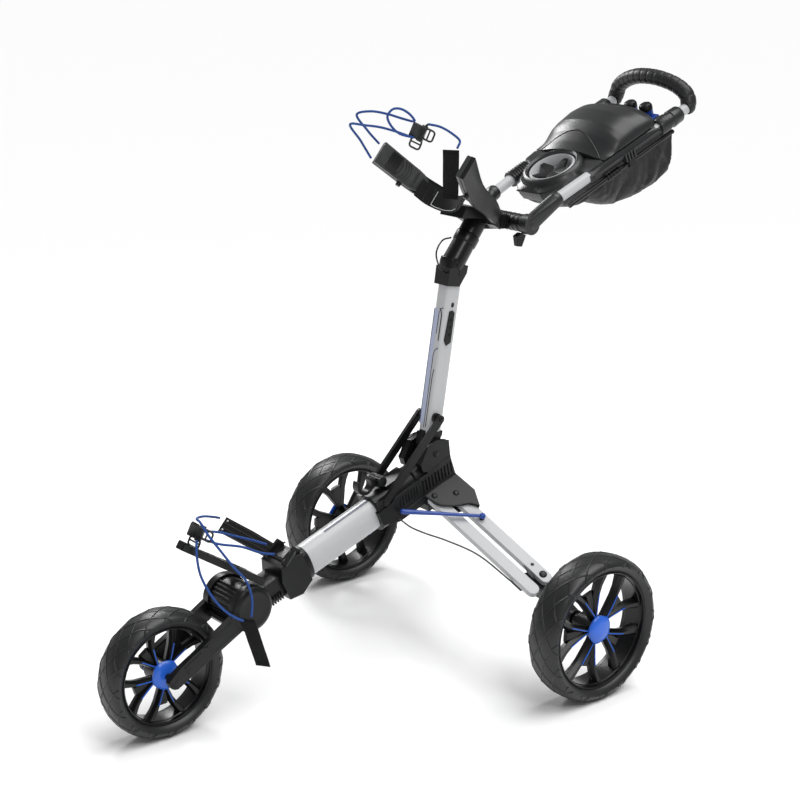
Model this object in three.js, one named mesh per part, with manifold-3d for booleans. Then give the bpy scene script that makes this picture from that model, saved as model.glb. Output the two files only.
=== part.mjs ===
// Three-wheel golf push cart, millimetres, +Z up, front wheel towards -Y, +X is the cart's left.
import * as THREE from 'three';
import { mergeVertices } from 'three/addons/utils/BufferGeometryUtils.js';
import { ConvexGeometry } from 'three/addons/geometries/ConvexGeometry.js';
import Module from 'manifold-3d';

const wasm = await Module();
wasm.setup();

// ---- driving dimensions ----
const GAP = 0.3;
const REAR_R = 135;
const FRONT_R = 114;
const REAR_TYRE_W = 72;
const FRONT_TYRE_W = 66;
const TRACK = 731;
const WHEELBASE = 673;
const AXLE_R = 6;
const BORE_R = 6.3;
const TUBE_R = 10.5;
const CORD_R = 2.2;
const SPOKE_START = 0.593;
const Y_SHIFT = 135.111;
const FOLD_PIVOT = [0, -86, 393];
const DRUM = [0, -514, 202];
const BARREL = [0, 108, 807];
const STRUT_EYE = [-73, 457];

// ---- local frames ----
const V = (x, y, z) => new THREE.Vector3(x, y, z);
const arr = (v) => [v.x, v.y, v.z];
function frameOf(origin, ex, ey, ez) {
  const m = new THREE.Matrix4().makeBasis(ex, ey, ez);
  m.setPosition(origin);
  return m;
}
const ALONG_X = frameOf(V(0, 0, 0), V(0, 1, 0), V(0, 0, 1), V(1, 0, 0));

// front tube: s runs up the tube, v is square to it in the middle plane
const tubeDir = V(0, 155, 56).normalize();
const tubeUp = V(1, 0, 0).cross(tubeDir).normalize();
const TUBE_START = V(0, -373, 239);
const TUBE_FRAME = frameOf(TUBE_START, tubeDir, tubeUp, V(1, 0, 0));

// rear leg: d runs down the leg, b points rearward in the leg's plane, n is the leg plane's normal
const LEG_ROOT = V(55.4, -56.8, 309.1);
const LEG_TIP = V(251.7, -16.1, 199.7);
const LEG_LEN = LEG_TIP.distanceTo(LEG_ROOT);
const legDir = LEG_TIP.clone().sub(LEG_ROOT).normalize();
const legNormal = legDir.clone().cross(tubeDir).normalize();
const legBack = legNormal.clone().cross(legDir).normalize();
const LEG_FRAME = frameOf(LEG_ROOT, legDir, legBack, legNormal);
const LINK_D = -21;
const LINK_B = -36;

// upper tube: u runs up the tube
const POST_FOOT = V(0, -74, 423);
const POST_HEAD = V(0, -25, 714);
const postDir = POST_HEAD.clone().sub(POST_FOOT).normalize();
const POST_LEN = POST_HEAD.distanceTo(POST_FOOT);
const POST_FRAME = frameOf(POST_FOOT, V(1, 0, 0), postDir.clone().cross(V(1, 0, 0)).normalize(), postDir);

// handle: x across, s up the handle tubes, m square to the handle's plane
const handleDir = V(0, 0.914, 0.407).normalize();
const handleUp = V(1, 0, 0).cross(handleDir).normalize();
const HANDLE_START = V(0, 183, 857);
const HANDLE_FRAME = frameOf(HANDLE_START, V(1, 0, 0), handleDir, handleUp);

const at = (frame, x, y, z) => V(x, y, z).applyMatrix4(frame);

// ---- solids ----
function solid(geometry) {
  const g = geometry.clone();
  g.deleteAttribute('normal');
  g.deleteAttribute('uv');
  const m = mergeVertices(g, 1e-4);
  const mesh = new wasm.Mesh({
    numProp: 3,
    vertProperties: new Float32Array(m.attributes.position.array),
    triVerts: new Uint32Array(m.index.array),
  });
  return new wasm.Manifold(mesh);
}
const join = (...parts) => parts.reduce((a, b) => a.add(b));
const cut = (body, ...tools) => tools.reduce((a, b) => a.subtract(b), body);
const mirrored = (body) => body.mirror([1, 0, 0]);

// a prism of a closed outline, centred on z0..z1 of its frame
function prism(outline, z0, z1, frame = null) {
  const shape = new THREE.Shape(outline.map(([x, y]) => new THREE.Vector2(x, y)));
  const g = new THREE.ExtrudeGeometry(shape, { depth: z1 - z0, bevelEnabled: false, curveSegments: 6 });
  g.translate(0, 0, z0);
  if (frame) g.applyMatrix4(frame);
  return solid(g);
}
function oval(halfX, halfY, count = 28, power = 2) {
  const out = [];
  for (let i = 0; i < count; i += 1) {
    const a = (2 * Math.PI * i) / count;
    const c = Math.cos(a);
    const s = Math.sin(a);
    out.push([
      halfX * Math.sign(c) * Math.abs(c) ** (2 / power),
      halfY * Math.sign(s) * Math.abs(s) ** (2 / power),
    ]);
  }
  return out;
}
const disc = (x, y, r, count = 20) => oval(r, r, count).map(([a, b]) => [a + x, b + y]);
// a bar with round ends between two points of a plane
function slot(x0, y0, x1, y1, r, count = 12) {
  const a = Math.atan2(y1 - y0, x1 - x0);
  const out = [];
  for (let i = 0; i <= count / 2; i += 1) {
    const t = a + Math.PI / 2 + (Math.PI * i) / (count / 2);
    out.push([x0 + r * Math.cos(t), y0 + r * Math.sin(t)]);
  }
  for (let i = 0; i <= count / 2; i += 1) {
    const t = a - Math.PI / 2 + (Math.PI * i) / (count / 2);
    out.push([x1 + r * Math.cos(t), y1 + r * Math.sin(t)]);
  }
  return out;
}
function rod(p, q, r0, r1 = r0, sides = 16) {
  const a = V(...p);
  const b = V(...q);
  const g = new THREE.CylinderGeometry(r1, r0, a.distanceTo(b), sides);
  const turn = new THREE.Quaternion().setFromUnitVectors(V(0, 1, 0), b.clone().sub(a).normalize());
  g.applyQuaternion(turn);
  const mid = a.add(b).multiplyScalar(0.5);
  g.translate(mid.x, mid.y, mid.z);
  return solid(g);
}
function hull(points) {
  return solid(new ConvexGeometry(points.map((p) => (Array.isArray(p) ? V(...p) : p))));
}
function block(x0, x1, y0, y1, z0, z1, frame = null) {
  return prism([[x0, y0], [x1, y0], [x1, y1], [x0, y1]], z0, z1, frame);
}
function ball(p, r, detail = 10) {
  const g = new THREE.SphereGeometry(r, detail, Math.max(6, detail - 3));
  g.translate(...p);
  return solid(g);
}
function pipe(points, r, sides = 8, pitch = 11) {
  const curve = new THREE.CatmullRomCurve3(points.map((p) => V(...p)), false, 'centripetal');
  const steps = Math.ceil(curve.getLength() / pitch);
  const ring = [];
  for (let i = 0; i < sides; i += 1) {
    const a = (2 * Math.PI * i) / sides;
    ring.push(new THREE.Vector2(r * Math.cos(a), r * Math.sin(a)));
  }
  const g = new THREE.ExtrudeGeometry(new THREE.Shape(ring), {
    steps,
    extrudePath: curve,
    bevelEnabled: false,
  });
  return solid(g);
}
// a closed section (radius, x) turned about an X axis through the wheel's centre
function turned(section, cx, cy, cz, segments = 48) {
  const pts = section.map(([r, h]) => new THREE.Vector2(r, h));
  pts.push(pts[0].clone());
  const g = new THREE.LatheGeometry(pts, segments);
  g.applyMatrix4(new THREE.Matrix4().makeRotationZ(-Math.PI / 2));
  g.translate(cx, cy, cz);
  const s = solid(g);
  return s.volume() < 0 ? solid(flipped(g)) : s;
}
function flipped(g) {
  const f = g.clone();
  const idx = f.index.array;
  for (let i = 0; i < idx.length; i += 3) {
    const k = idx[i];
    idx[i] = idx[i + 1];
    idx[i + 1] = k;
  }
  return f;
}

// ---- materials ----
function paint(color, roughness, metalness) {
  return { color, roughness, metalness };
}
const WHITE = paint(0xe9eaec, 0.35, 0.1);
const BLACK = paint(0x17181a, 0.55, 0);
const SHELL = paint(0x2b2c2e, 0.5, 0);
const RUBBER = paint(0x202122, 0.85, 0);
const BLUE = paint(0x2d5fd0, 0.35, 0);
const CORD_BLUE = paint(0x27489c, 0.8, 0);
const STEEL = paint(0x9a9da1, 0.3, 0.9);
const CLOTH = paint(0x1b1b1c, 0.95, 0);
const LINER = paint(0xc9cbcd, 0.5, 0);

const cart = new THREE.Group();
cart.name = 'push_cart';
cart.position.set(0, Y_SHIFT, 0);

function add(name, body, look) {
  const m = body.getMesh();
  const g = new THREE.BufferGeometry();
  g.setAttribute('position', new THREE.BufferAttribute(new Float32Array(m.vertProperties), 3));
  g.setIndex(new THREE.BufferAttribute(new Uint32Array(m.triVerts), 1));
  g.computeVertexNormals();
  const mesh = new THREE.Mesh(g, new THREE.MeshStandardMaterial(look));
  mesh.name = name;
  cart.add(mesh);
}

// ---- wheels ----
function tyre(cx, cy, cz, R, width) {
  const h = width / 2;
  const inner = R - 27;
  return turned([
    [inner, -h + 14], [inner + 3, -h + 8], [inner + 12, -h], [R - 6, -h + 4], [R - 1.5, -h + 11], [R, -10],
    [R, 10], [R - 1.5, h - 11], [R - 6, h - 4], [inner + 12, h], [inner + 3, h - 8], [inner, h - 14],
  ], cx, cy, cz, 40);
}
// side is +1 when the show face looks towards +X
function rim(cx, cy, cz, R, width, side, through) {
  const seat = R - 27 - GAP;
  const h = width / 2;
  const band = turned([
    [seat, -h + 14], [seat, h - 14], [seat - 1.5, h - 10], [seat - 3.5, h - 11], [seat - 4, h - 17],
    [seat - 5.5, h - 19], [seat - 5.5, -h + 14],
  ], 0, 0, 0, 40);
  let body = join(band, rod([-h + 8, 0, 0], [h - 21, 0, 0], 20, 20, 20));
  for (let i = 0; i < 5; i += 1) {
    for (const lean of [-1, 1]) {
      const a = SPOKE_START + (2 * Math.PI * i) / 5;
      const spoke = (r, turn, half, x0, x1) => {
        const c = V(0, Math.cos(a + turn), Math.sin(a + turn));
        const t = V(0, -Math.sin(a + turn), Math.cos(a + turn));
        const out = [];
        for (const sx of [x0, x1]) {
          for (const sy of [-half, half]) out.push([sx, c.y * r + t.y * sy, c.z * r + t.z * sy]);
        }
        return out;
      };
      const inner = spoke(15, lean * 0.16, 5, -h + 22, h - 22);
      const knee = spoke(R * 0.48, lean * 0.245, 5.5, -h + 24, h - 24);
      const outer = spoke(seat - 3.5, lean * 0.384, 9, -h + 20, h - 27);
      body = join(body, hull([...inner, ...knee]), hull([...knee, ...outer]));
    }
  }
  body = cut(body, rod([-h, 0, 0], [through ? h : h - 23.5, 0, 0], BORE_R, BORE_R, 20));
  if (side < 0) body = mirrored(body);
  return body.translate([cx, cy, cz]);
}
function star(cx, cy, cz, R, width, side, through) {
  const h = width / 2 - 21 + GAP;
  const points = [];
  for (let i = 0; i < 10; i += 1) {
    const a = SPOKE_START + (Math.PI * i) / 5;
    const r = i % 2 ? 21 : 26;
    points.push([r * Math.cos(a), r * Math.sin(a)]);
  }
  const base = prism(points, h, h + 4, ALONG_X);
  const dome = rod([h + 3.5, 0, 0], [h + 9, 0, 0], 19, 10, 15);
  const whole = join(base, dome);
  const body = through ? cut(whole, rod([0, 0, 0], [h + 20, 0, 0], BORE_R, BORE_R, 20)) : whole;
  return (side < 0 ? mirrored(body) : body).translate([cx, cy, cz]);
}
function wheelSet(tag, cx, cy, cz, R, width, side, through = false) {
  add(`tyre_${tag}`, tyre(cx, cy, cz, R, width), RUBBER);
  add(`rim_${tag}`, rim(cx, cy, cz, R, width, side, through), BLACK);
  add(`hub_cap_${tag}`, star(cx, cy, cz, R, width, side, through), BLUE);
}

// ---- front tube, hub and legs ----
const tubeSection = (grow, count = 28) => oval(24 + grow, 31 + grow, count, 2.3);
const acrossTube = frameOf(TUBE_START, V(-1, 0, 0), tubeUp, tubeDir);
function frontTube() {
  const outer = prism(tubeSection(0), -20, 345, acrossTube);
  return cut(outer, prism(tubeSection(-2.5), -21, 346, acrossTube));
}
const plateOutline = [[-50, 31], [-50, -50], [-10, -48], [2, -40], [22, -17], [33, 4], [49, 15], [17, 33]];
function pivotPin(d, b, n0, n1, r = 4) {
  return rod(arr(at(LEG_FRAME, d, b, n0)), arr(at(LEG_FRAME, d, b, n1)), r, r, 16);
}
function legClevis() {
  const top = prism(plateOutline, 7, 11, LEG_FRAME);
  const low = prism(plateOutline, -11, -7, LEG_FRAME);
  return join(top, low, pivotPin(0, 0, -8, 8), pivotPin(LINK_D, LINK_B, -8, 8));
}
// clears the round ends of the two leg bars where they turn inside the hub
function legPocket() {
  const reach = [[0, -18], [80, -60], [120, 40], [0, 18]];
  return join(
    prism(disc(0, 0, 18, 24), -7, 7, LEG_FRAME),
    prism(disc(LINK_D, LINK_B, 18, 24), -7, 7, LEG_FRAME),
    prism(reach, -7, 7, LEG_FRAME),
  );
}
function hubRear() {
  const sleeve = prism(oval(31, 37, 28, 2.6), 267, 352, acrossTube);
  const cheek = (x0, x1) => prism(
    [[283, 30], [352, -14], [352, 23], [359, 55], [335, 69], [311, 69], [290, 50], [283, 45]],
    x0, x1, TUBE_FRAME,
  );
  const keel = block(274, 348, -56, -28, -27, 27, TUBE_FRAME);
  let body = join(sleeve, cheek(18, 33), cheek(-33, -18), keel);
  const pocket = legPocket();
  body = cut(body, pocket, mirrored(pocket));
  const clevis = legClevis();
  body = join(body, clevis, mirrored(clevis));
  body = cut(body, prism(tubeSection(GAP), 200, 400, acrossTube));
  return cut(body, rod([-40, ...FOLD_PIVOT.slice(1)], [40, ...FOLD_PIVOT.slice(1)], 5 + GAP));
}
function slider() {
  const sleeve = prism(oval(30, 36, 28, 2.6), 176, 266.6, acrossTube);
  const side = (x0, x1) => prism(
    [[164, 12], [166, -16], [203, -30], [266.6, -30], [266.6, 20], [209, 20], [200, 12]],
    x0, x1, TUBE_FRAME,
  );
  const crown = block(206, 262, 33, 42, -17, 17, TUBE_FRAME);
  let body = join(sleeve, side(24, 33), side(-33, -24), crown);
  const eye = at(TUBE_FRAME, 188, 22, 0);
  body = join(body, rod([-25.5, eye.y, eye.z], [25.5, eye.y, eye.z], 9, 9, 16));
  const away = [eye.y + 100, eye.z + 102];
  for (const x of [25.7, -40]) {
    body = cut(body, prism(slot(eye.y, eye.z, ...away, 8.5), x, x + 14.3, ALONG_X));
  }
  const pin = (x0, x1) => rod([x0, eye.y, eye.z], [x1, eye.y, eye.z], 4, 4, 12);
  body = join(body, pin(25, 34), pin(-34, -25));
  for (let i = 0; i < 6; i += 1) {
    for (const sx of [-1, 1]) {
      const s0 = 210 + i * 9;
      body = join(body, block(s0, s0 + 4, 2, 14, sx > 0 ? 32 : -34.5, sx > 0 ? 34.5 : -32, TUBE_FRAME));
    }
  }
  return cut(body, prism(tubeSection(0.5), 100, 300, acrossTube));
}
function strut(side) {
  const low = at(TUBE_FRAME, 188, 22, 0);
  const high = [0, ...STRUT_EYE];
  const lowPoint = [low.y, low.z];
  const bar = prism(slot(lowPoint[0], lowPoint[1], high[1], high[2], 6.5), 26, 33, ALONG_X);
  let body = cut(bar, rod([20, ...lowPoint], [40, ...lowPoint], 4 + GAP, 4 + GAP, 12));
  body = join(body, rod([32, high[1], high[2]], [36, high[1], high[2]], 6, 5, 12));
  return side > 0 ? body : mirrored(body);
}
function catchHook() {
  const c = at(TUBE_FRAME, 172, 62, 0);
  const ring = [];
  const n = 12;
  for (let i = 0; i <= n; i += 1) {
    const a = 2.6 + (4.4 * i) / n;
    ring.push([c.y + 19 * Math.cos(a), c.z + 19 * Math.sin(a)]);
  }
  for (let i = n; i >= 0; i -= 1) {
    const a = 2.6 + (4.4 * i) / n;
    ring.push([c.y + 12 * Math.cos(a), c.z + 12 * Math.sin(a)]);
  }
  const hook = prism(ring, -9, 9, ALONG_X);
  const p = at(TUBE_FRAME, 204, 53, 0);
  const barrel = rod([-17, p.y, p.z], [17, p.y, p.z], 10, 10, 16);
  const link = hull([
    [-8, p.y - 4, p.z + 4], [8, p.y - 4, p.z + 4], [-8, p.y - 4, p.z - 6], [8, p.y - 4, p.z - 6],
    [-8, c.y + 12, c.z + 9], [8, c.y + 12, c.z + 9], [-8, c.y + 12, c.z - 9], [8, c.y + 12, c.z - 9],
  ]);
  return join(hook, cut(link, rod([-9, c.y, c.z], [9, c.y, c.z], 12.5, 12.5, 24)), barrel);
}

function legBars(side) {
  const bar = (d, b) => {
    const body = prism(slot(d, b, d + LEG_LEN, b, 11.5), -6.4, 6.4, LEG_FRAME);
    return cut(body, pivotPin(d, b, -10, 10, 4 + GAP), pivotPin(d + LEG_LEN, b, -10, 10, 4 + GAP));
  };
  const upper = bar(0, 0);
  const lower = bar(LINK_D, LINK_B);
  return side > 0 ? [upper, lower] : [mirrored(upper), mirrored(lower)];
}
function wheelBracket(side) {
  const d0 = LEG_LEN;
  const plate = prism([
    [d0 - 12, 12], [d0 - 34, -26], [d0 - 34, -48], [d0 - 8, -48], [d0 + 16, -10], [d0 + 16, 12],
  ], -12, -7, LEG_FRAME);
  const pin = (d, b) => join(
    pivotPin(d, b, -9, 8),
    pivotPin(d, b, 6.8, 9.5, 7),
  );
  const housing = rod([288.3, 0, 135], [324, 0, 135], 17, 17, 20);
  const corner = (d, b, n) => arr(at(LEG_FRAME, d, b, n));
  const ribs = hull([
    corner(d0 - 28, -44, -8), corner(d0 - 10, -44, -8), corner(d0 + 14, -8, -8), corner(d0 + 14, 10, -8),
    corner(d0 - 10, 10, -8), corner(d0 - 28, -44, -14), corner(d0 - 10, 10, -16),
    [296, -13, 145], [296, 13, 145], [322, -13, 145], [322, 13, 145],
  ]);
  const shaft = rod([300, 0, 135], [TRACK / 2 + 10, 0, 135], AXLE_R, AXLE_R, 20);
  const body = join(plate, pin(d0, 0), pin(d0 + LINK_D, LINK_B), housing, ribs, shaft);
  return side > 0 ? body : mirrored(body);
}
function releaseKnob(side) {
  const lobes = [];
  for (let i = 0; i < 16; i += 1) {
    const a = (2 * Math.PI * i) / 16;
    const r = i % 4 < 2 ? 14 : 10.5;
    lobes.push([r * Math.cos(a), 135 + r * Math.sin(a)]);
  }
  const body = prism(lobes, 274, 288, ALONG_X);
  return side > 0 ? body : mirrored(body);
}
function pushRod(side) {
  const end = arr(at(LEG_FRAME, 70, 0, 14));
  const start = [40.5, -172, 301];
  const body = join(rod(start, end, 3.6, 3.2, 10), ball(end, 7), ball(start, 6));
  return side > 0 ? body : mirrored(body);
}

// ---- upper tube, struts' bolt, neck ----
const postSection = (grow) => oval(14.5 + grow, 17.5 + grow, 24, 5);
function upperTube() {
  return cut(
    prism(postSection(0), 0, POST_LEN, POST_FRAME),
    prism(postSection(-2), -1, POST_LEN + 1, POST_FRAME),
    rod([-30, ...STRUT_EYE], [30, ...STRUT_EYE], 9 + GAP, 9 + GAP, 18),
  );
}
function tubeFoot() {
  const plug = prism(postSection(-2 - GAP), 0.5, 60, POST_FRAME);
  const [, py, pz] = FOLD_PIVOT;
  const corner = (x, y) => arr(at(POST_FRAME, x, y, -0.5));
  const root = hull([
    corner(-14, -17), corner(14, -17), corner(-14, 17), corner(14, 17),
    ...disc(py, pz, 9.3, 18).flatMap(([y, z]) => [[-16.5, y, z], [16.5, y, z]]),
  ]);
  const [sy, sz] = STRUT_EYE;
  const ears = rod([-25.6, sy, sz], [25.6, sy, sz], 9, 9, 18);
  const bore = rod([-20, py, pz], [20, py, pz], 5 + GAP);
  const link = prism(postSection(-2 - GAP), -2, 1, POST_FRAME);
  return cut(join(plug, root, link, ears), bore);
}
function foldBolt() {
  const [, py, pz] = FOLD_PIVOT;
  return join(
    rod([-35, py, pz], [35, py, pz], 5, 5, 16),
    rod([33.3, py, pz], [37, py, pz], 8, 7, 12),
    rod([-37, py, pz], [-33.3, py, pz], 7, 8, 12),
  );
}
function neck() {
  const collar = prism(oval(19, 22, 24, 4), POST_LEN + GAP, POST_LEN + 34, POST_FRAME);
  const pole = rod([0, -22, 738], [0, 40, 818], 22, 21, 24);
  const tongue = prism(postSection(-2 - GAP), POST_LEN - 40, POST_LEN + 2, POST_FRAME);
  return join(collar, pole, tongue);
}
function cradleHead() {
  const tail = hull([
    [-16, 34, 800], [16, 34, 800], [-16, 50, 832], [16, 50, 832],
    [-24, 80, 796], [24, 80, 796], [-24, 80, 822], [24, 80, 822],
    [-24, 108, 794], [24, 108, 794], [-24, 108, 818], [24, 108, 818],
  ]);
  const barrel = rod([-55, ...BARREL.slice(1)], [55, ...BARREL.slice(1)], 16, 16, 20);
  const shaft = rod([-74, ...BARREL.slice(1)], [74, ...BARREL.slice(1)], 6, 6, 16);
  const wing = hull([
    [-52, 34, 812], [52, 34, 812], [-52, 40, 836], [52, 40, 836], [-52, 50, 802], [52, 50, 802],
    [-30, 72, 804], [30, 72, 804], [-30, 72, 826], [30, 72, 826],
  ]);
  const pole = rod([0, -22, 738], [0, 40, 818], 22 + GAP, 21 + GAP, 24);
  const crown = hull([...disc(0, 0, 25, 16).flatMap(([x, k]) => [
    [x, 28 + k * 0.79, 803 - k * 0.61], [x, 46 + k * 0.79, 828 - k * 0.61],
  ])]);
  const body = join(tail, barrel, shaft, wing, crown, saddle(), cradleArm(1), cradleArm(-1));
  return cut(body, pole);
}

// ---- upper cradle ----
// stations of the left arm: centre, half width along the bag's axis, thickness
const ARM = [[48, 40, 826, 13], [63, 10, 850, 17], [79, -36, 879, 20], [120, -97, 938, 22.5]];
const bagUp = V(0, 0.64, 0.77).normalize();
function armSlab(stations, shiftIn, thick) {
  const faces = stations.map(([x, y, z, half], i) => {
    const a = stations[Math.max(0, i - 1)];
    const b = stations[Math.min(stations.length - 1, i + 1)];
    const along = V(b[0] - a[0], b[1] - a[1], b[2] - a[2]).normalize();
    const out = along.clone().cross(bagUp).normalize();
    if (out.x < 0) out.negate();
    const c = V(x, y, z).addScaledVector(out, -shiftIn);
    const ring = [];
    for (const k of [-1, 1]) {
      for (const t of [0, thick]) {
        ring.push(c.clone().addScaledVector(bagUp, k * half).addScaledVector(out, t));
      }
    }
    return { ring, along };
  });
  const nudged = ({ ring, along }, step) => ring.map((p) => p.clone().addScaledVector(along, step));
  let body = null;
  for (let i = 0; i + 1 < faces.length; i += 1) {
    const piece = hull([...nudged(faces[i], -0.6), ...nudged(faces[i + 1], 0.6)]);
    body = body ? join(body, piece) : piece;
  }
  return body;
}
function cradleArm(side) {
  const body = armSlab(ARM, 0, 8);
  return side > 0 ? body : mirrored(body);
}
function cradlePad(side) {
  const stations = [[84, -44, 886.5, 19.5], [118, -94, 935, 21]];
  const body = armSlab(stations, 6.5, 6);
  return side > 0 ? body : mirrored(body);
}
function slingBand() {
  const mids = [[-74, -52, 880], [-45, -40, 863], [0, -30, 852], [45, -40, 863], [74, -52, 880]];
  let body = null;
  for (let i = 0; i + 1 < mids.length; i += 1) {
    const ends = [mids[i], mids[i + 1]].flatMap(([x, y, z]) => {
      const c = V(x, y, z);
      const out = [];
      for (const k of [-18, 18]) {
        for (const t of [0, 2.4]) {
          out.push(c.clone().addScaledVector(bagUp, k).add(V(0, 0.77 * t, -0.64 * t)));
        }
      }
      return out;
    });
    body = body ? join(body, hull(ends)) : hull(ends);
  }
  return body;
}
function saddle() {
  return hull([
    [-30, -26, 828], [30, -26, 828], [-34, -16, 850], [34, -16, 850],
    [-40, 30, 824], [40, 30, 824], [-34, 34, 840], [34, 34, 840],
  ]);
}

// ---- hooks, tabs and cords ----
function hook(c) {
  const [x, y, z] = c;
  return join(
    hull([
      [x - 11, y - 5, z - 15], [x + 11, y - 5, z - 15], [x - 12, y - 4, z + 13], [x + 12, y - 4, z + 13],
      [x - 10, y + 5, z - 14], [x + 10, y + 5, z - 14], [x - 11, y + 5, z + 14], [x + 11, y + 5, z + 14],
    ]),
    block(x + 10, x + 24, y - 3, y + 3, z - 12, z - 8),
    block(x + 10, x + 24, y - 3, y + 3, z - 2, z + 2),
    block(x + 10, x + 24, y - 3, y + 3, z + 8, z + 12),
    block(x + 20, x + 24, y - 3, y + 3, z - 12, z + 12),
  );
}
function tab(x, y, z, length, width, lean) {
  const across = V(0.82, 0.57, 0).multiplyScalar(width / 2);
  const thick = V(-0.57, 0.82, 0).multiplyScalar(2.4);
  const points = [];
  for (const down of [0, 1]) {
    for (const k of [-1, 1]) {
      const p = V(x, y + down * lean * length, z - down * length).addScaledVector(across, k);
      points.push(arr(p), arr(p.add(thick)));
    }
  }
  return hull(points);
}
const CORDS = {
  cord_upper_low: [
    [-117.5, -118, 930], [-110, -147, 964], [-92, -184, 999], [-74, -166, 997], [-55, -147, 994],
    [-38, -127, 987],
    [-22.5, -109, 979],
  ],
  cord_upper_high: [
    [-115, -101, 955], [-108, -133, 982], [-96, -166, 1015], [-78, -149, 1020], [-60, -125, 1015],
    [-40, -109, 1008], [-20, -100, 1004], [-12, -102, 1006], [-14, -112, 1018], [-18, -129, 1028],
    [-24, -142, 1028], [-28, -151, 1016],
    [-28, -144, 1000], [-22, -130, 985], [-14, -103, 976],
  ],
  cord_upper_end: [[2, -82, 999.5], [12, -62, 994], [26, -43, 980], [38, -39, 970], [44, -50, 958.8]],
  cord_lower_left: [
    [9, -598, 338], [20, -606, 333], [27, -610, 316], [30, -606, 284], [40, -596, 253], [50, -581, 226],
    [60, -562, 206], [66, -546, 196],
  ],
  cord_lower_over: [
    [-88, -489, 326], [-55, -522, 345], [-30, -560, 362], [-8, -586, 370], [16, -594, 372], [32, -590, 354],
    [38, -570, 322], [44, -548, 288], [54, -530, 261], [64, -526, 231], [70, -532, 201],
  ],
  cord_lower_far: [[2, -584, 350], [0, -548, 339], [-2, -514, 323], [2, -484, 310], [10, -456, 297]],
  cord_lower_near: [[6, -584, 337], [10, -555, 322], [16, -512, 308], [24, -476, 290], [28, -452, 283]],
};

// ---- lower cradle, base rest and fork ----
const LOWER_ARM = [[20, -418, 262, 14], [60, -447, 286, 15], [100, -476, 308, 15]];
const lowerUp = V(0, 0.67, 0.74).normalize();
function lowerCradle() {
  const clamp = prism([
    [-2, 38], [-2, -30], [-34, -36], [-62, -30], [-66, 10], [-58, 36], [-30, 42],
  ], -31, 31, TUBE_FRAME);
  const nose = prism([[-60, 20], [-60, -22], [-104, -14], [-122, 2], [-120, 20]], -22, 22, TUBE_FRAME);
  const drum = rod([-30, ...DRUM.slice(1)], [30, ...DRUM.slice(1)], 36, 36, 28);
  const arm = (side) => {
    let body = null;
    for (let i = 0; i + 1 < LOWER_ARM.length; i += 1) {
      const pts = [];
      for (const [x, y, z, half] of [LOWER_ARM[i], LOWER_ARM[i + 1]]) {
        for (const k of [-half, half]) {
          for (const t of [0, 8]) {
            const c = V(x, y, z).addScaledVector(lowerUp, k).add(V(t * 0.55, t * 0.6, -t * 0.55));
            pts.push(c);
          }
        }
      }
      body = body ? join(body, hull(pts)) : hull(pts);
    }
    return side > 0 ? body : mirrored(body);
  };
  const root = hull([
    at(TUBE_FRAME, -6, 30, -24), at(TUBE_FRAME, -6, 30, 24), at(TUBE_FRAME, -60, 20, -24),
    at(TUBE_FRAME, -60, 20, 24),
    V(-28, -408, 290), V(28, -408, 290), V(-28, -432, 262), V(28, -432, 262),
    V(-28, -400, 268), V(28, -400, 268),
  ]);
  let body = join(clamp, nose, drum, arm(1), arm(-1), root);
  body = cut(body, prism(tubeSection(GAP), -20.4, 10, acrossTube));
  return cut(body, rod([-40, ...DRUM.slice(1)], [40, ...DRUM.slice(1)], 8.4, 8.4, 20));
}
function baseRest() {
  const along = V(0, -0.84, 0.543).normalize();
  const frame = frameOf(V(0, -470, 234.7), V(-1, 0, 0), along, V(-1, 0, 0).cross(along));
  const plate = prism([[-34, 8], [34, 8], [30, 90], [13, 190], [-13, 190], [-30, 90]], -5, 5, frame);
  const hole = (s0, s1, w0, w1) => prism([[-w0, s0], [w0, s0], [w1, s1], [-w1, s1]], -9, 9, frame);
  const tip = prism([[-12, 178], [12, 178], [12, 192], [-12, 192]], -5, 7, frame);
  return cut(join(plate, tip), hole(30, 88, 22, 19), hole(98, 168, 16, 7));
}
function fork() {
  const y = -WHEELBASE;
  const z = FRONT_R;
  const [, dy, dz] = DRUM;
  const side = hull([
    ...disc(dy, dz, 41, 24).flatMap(([a, b]) => [[31, a, b], [44, a, b]]),
  ]);
  const arm = hull([
    ...disc(dy, dz, 24, 20).flatMap(([a, b]) => [[38, a, b], [50, a, b]]),
    ...disc(y, z, 17, 16).flatMap(([a, b]) => [[38, a, b], [50, a, b]]),
  ]);
  const cover = rod([49, dy, dz], [53, dy, dz], 30, 27, 24);
  const half = join(side, arm, cover);
  const bridge = hull([
    [-40, dy - 34, dz - 34], [40, dy - 34, dz - 34], [-40, dy - 44, dz - 22], [40, dy - 44, dz - 22],
    [-40, dy - 30, dz - 28], [40, dy - 30, dz - 28], [-40, dy - 38, dz - 18], [40, dy - 38, dz - 18],
  ]);
  const shaft = rod([-40, dy, dz], [40, dy, dz], 8, 8, 20);
  const axle = join(
    rod([-51, y, z], [51, y, z], AXLE_R, AXLE_R, 20),
    rod([49.5, y, z], [53, y, z], 10, 9, 12),
    rod([-53, y, z], [-49.5, y, z], 9, 10, 12),
  );
  return join(half, mirrored(half), shaft, bridge, axle);
}

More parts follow.
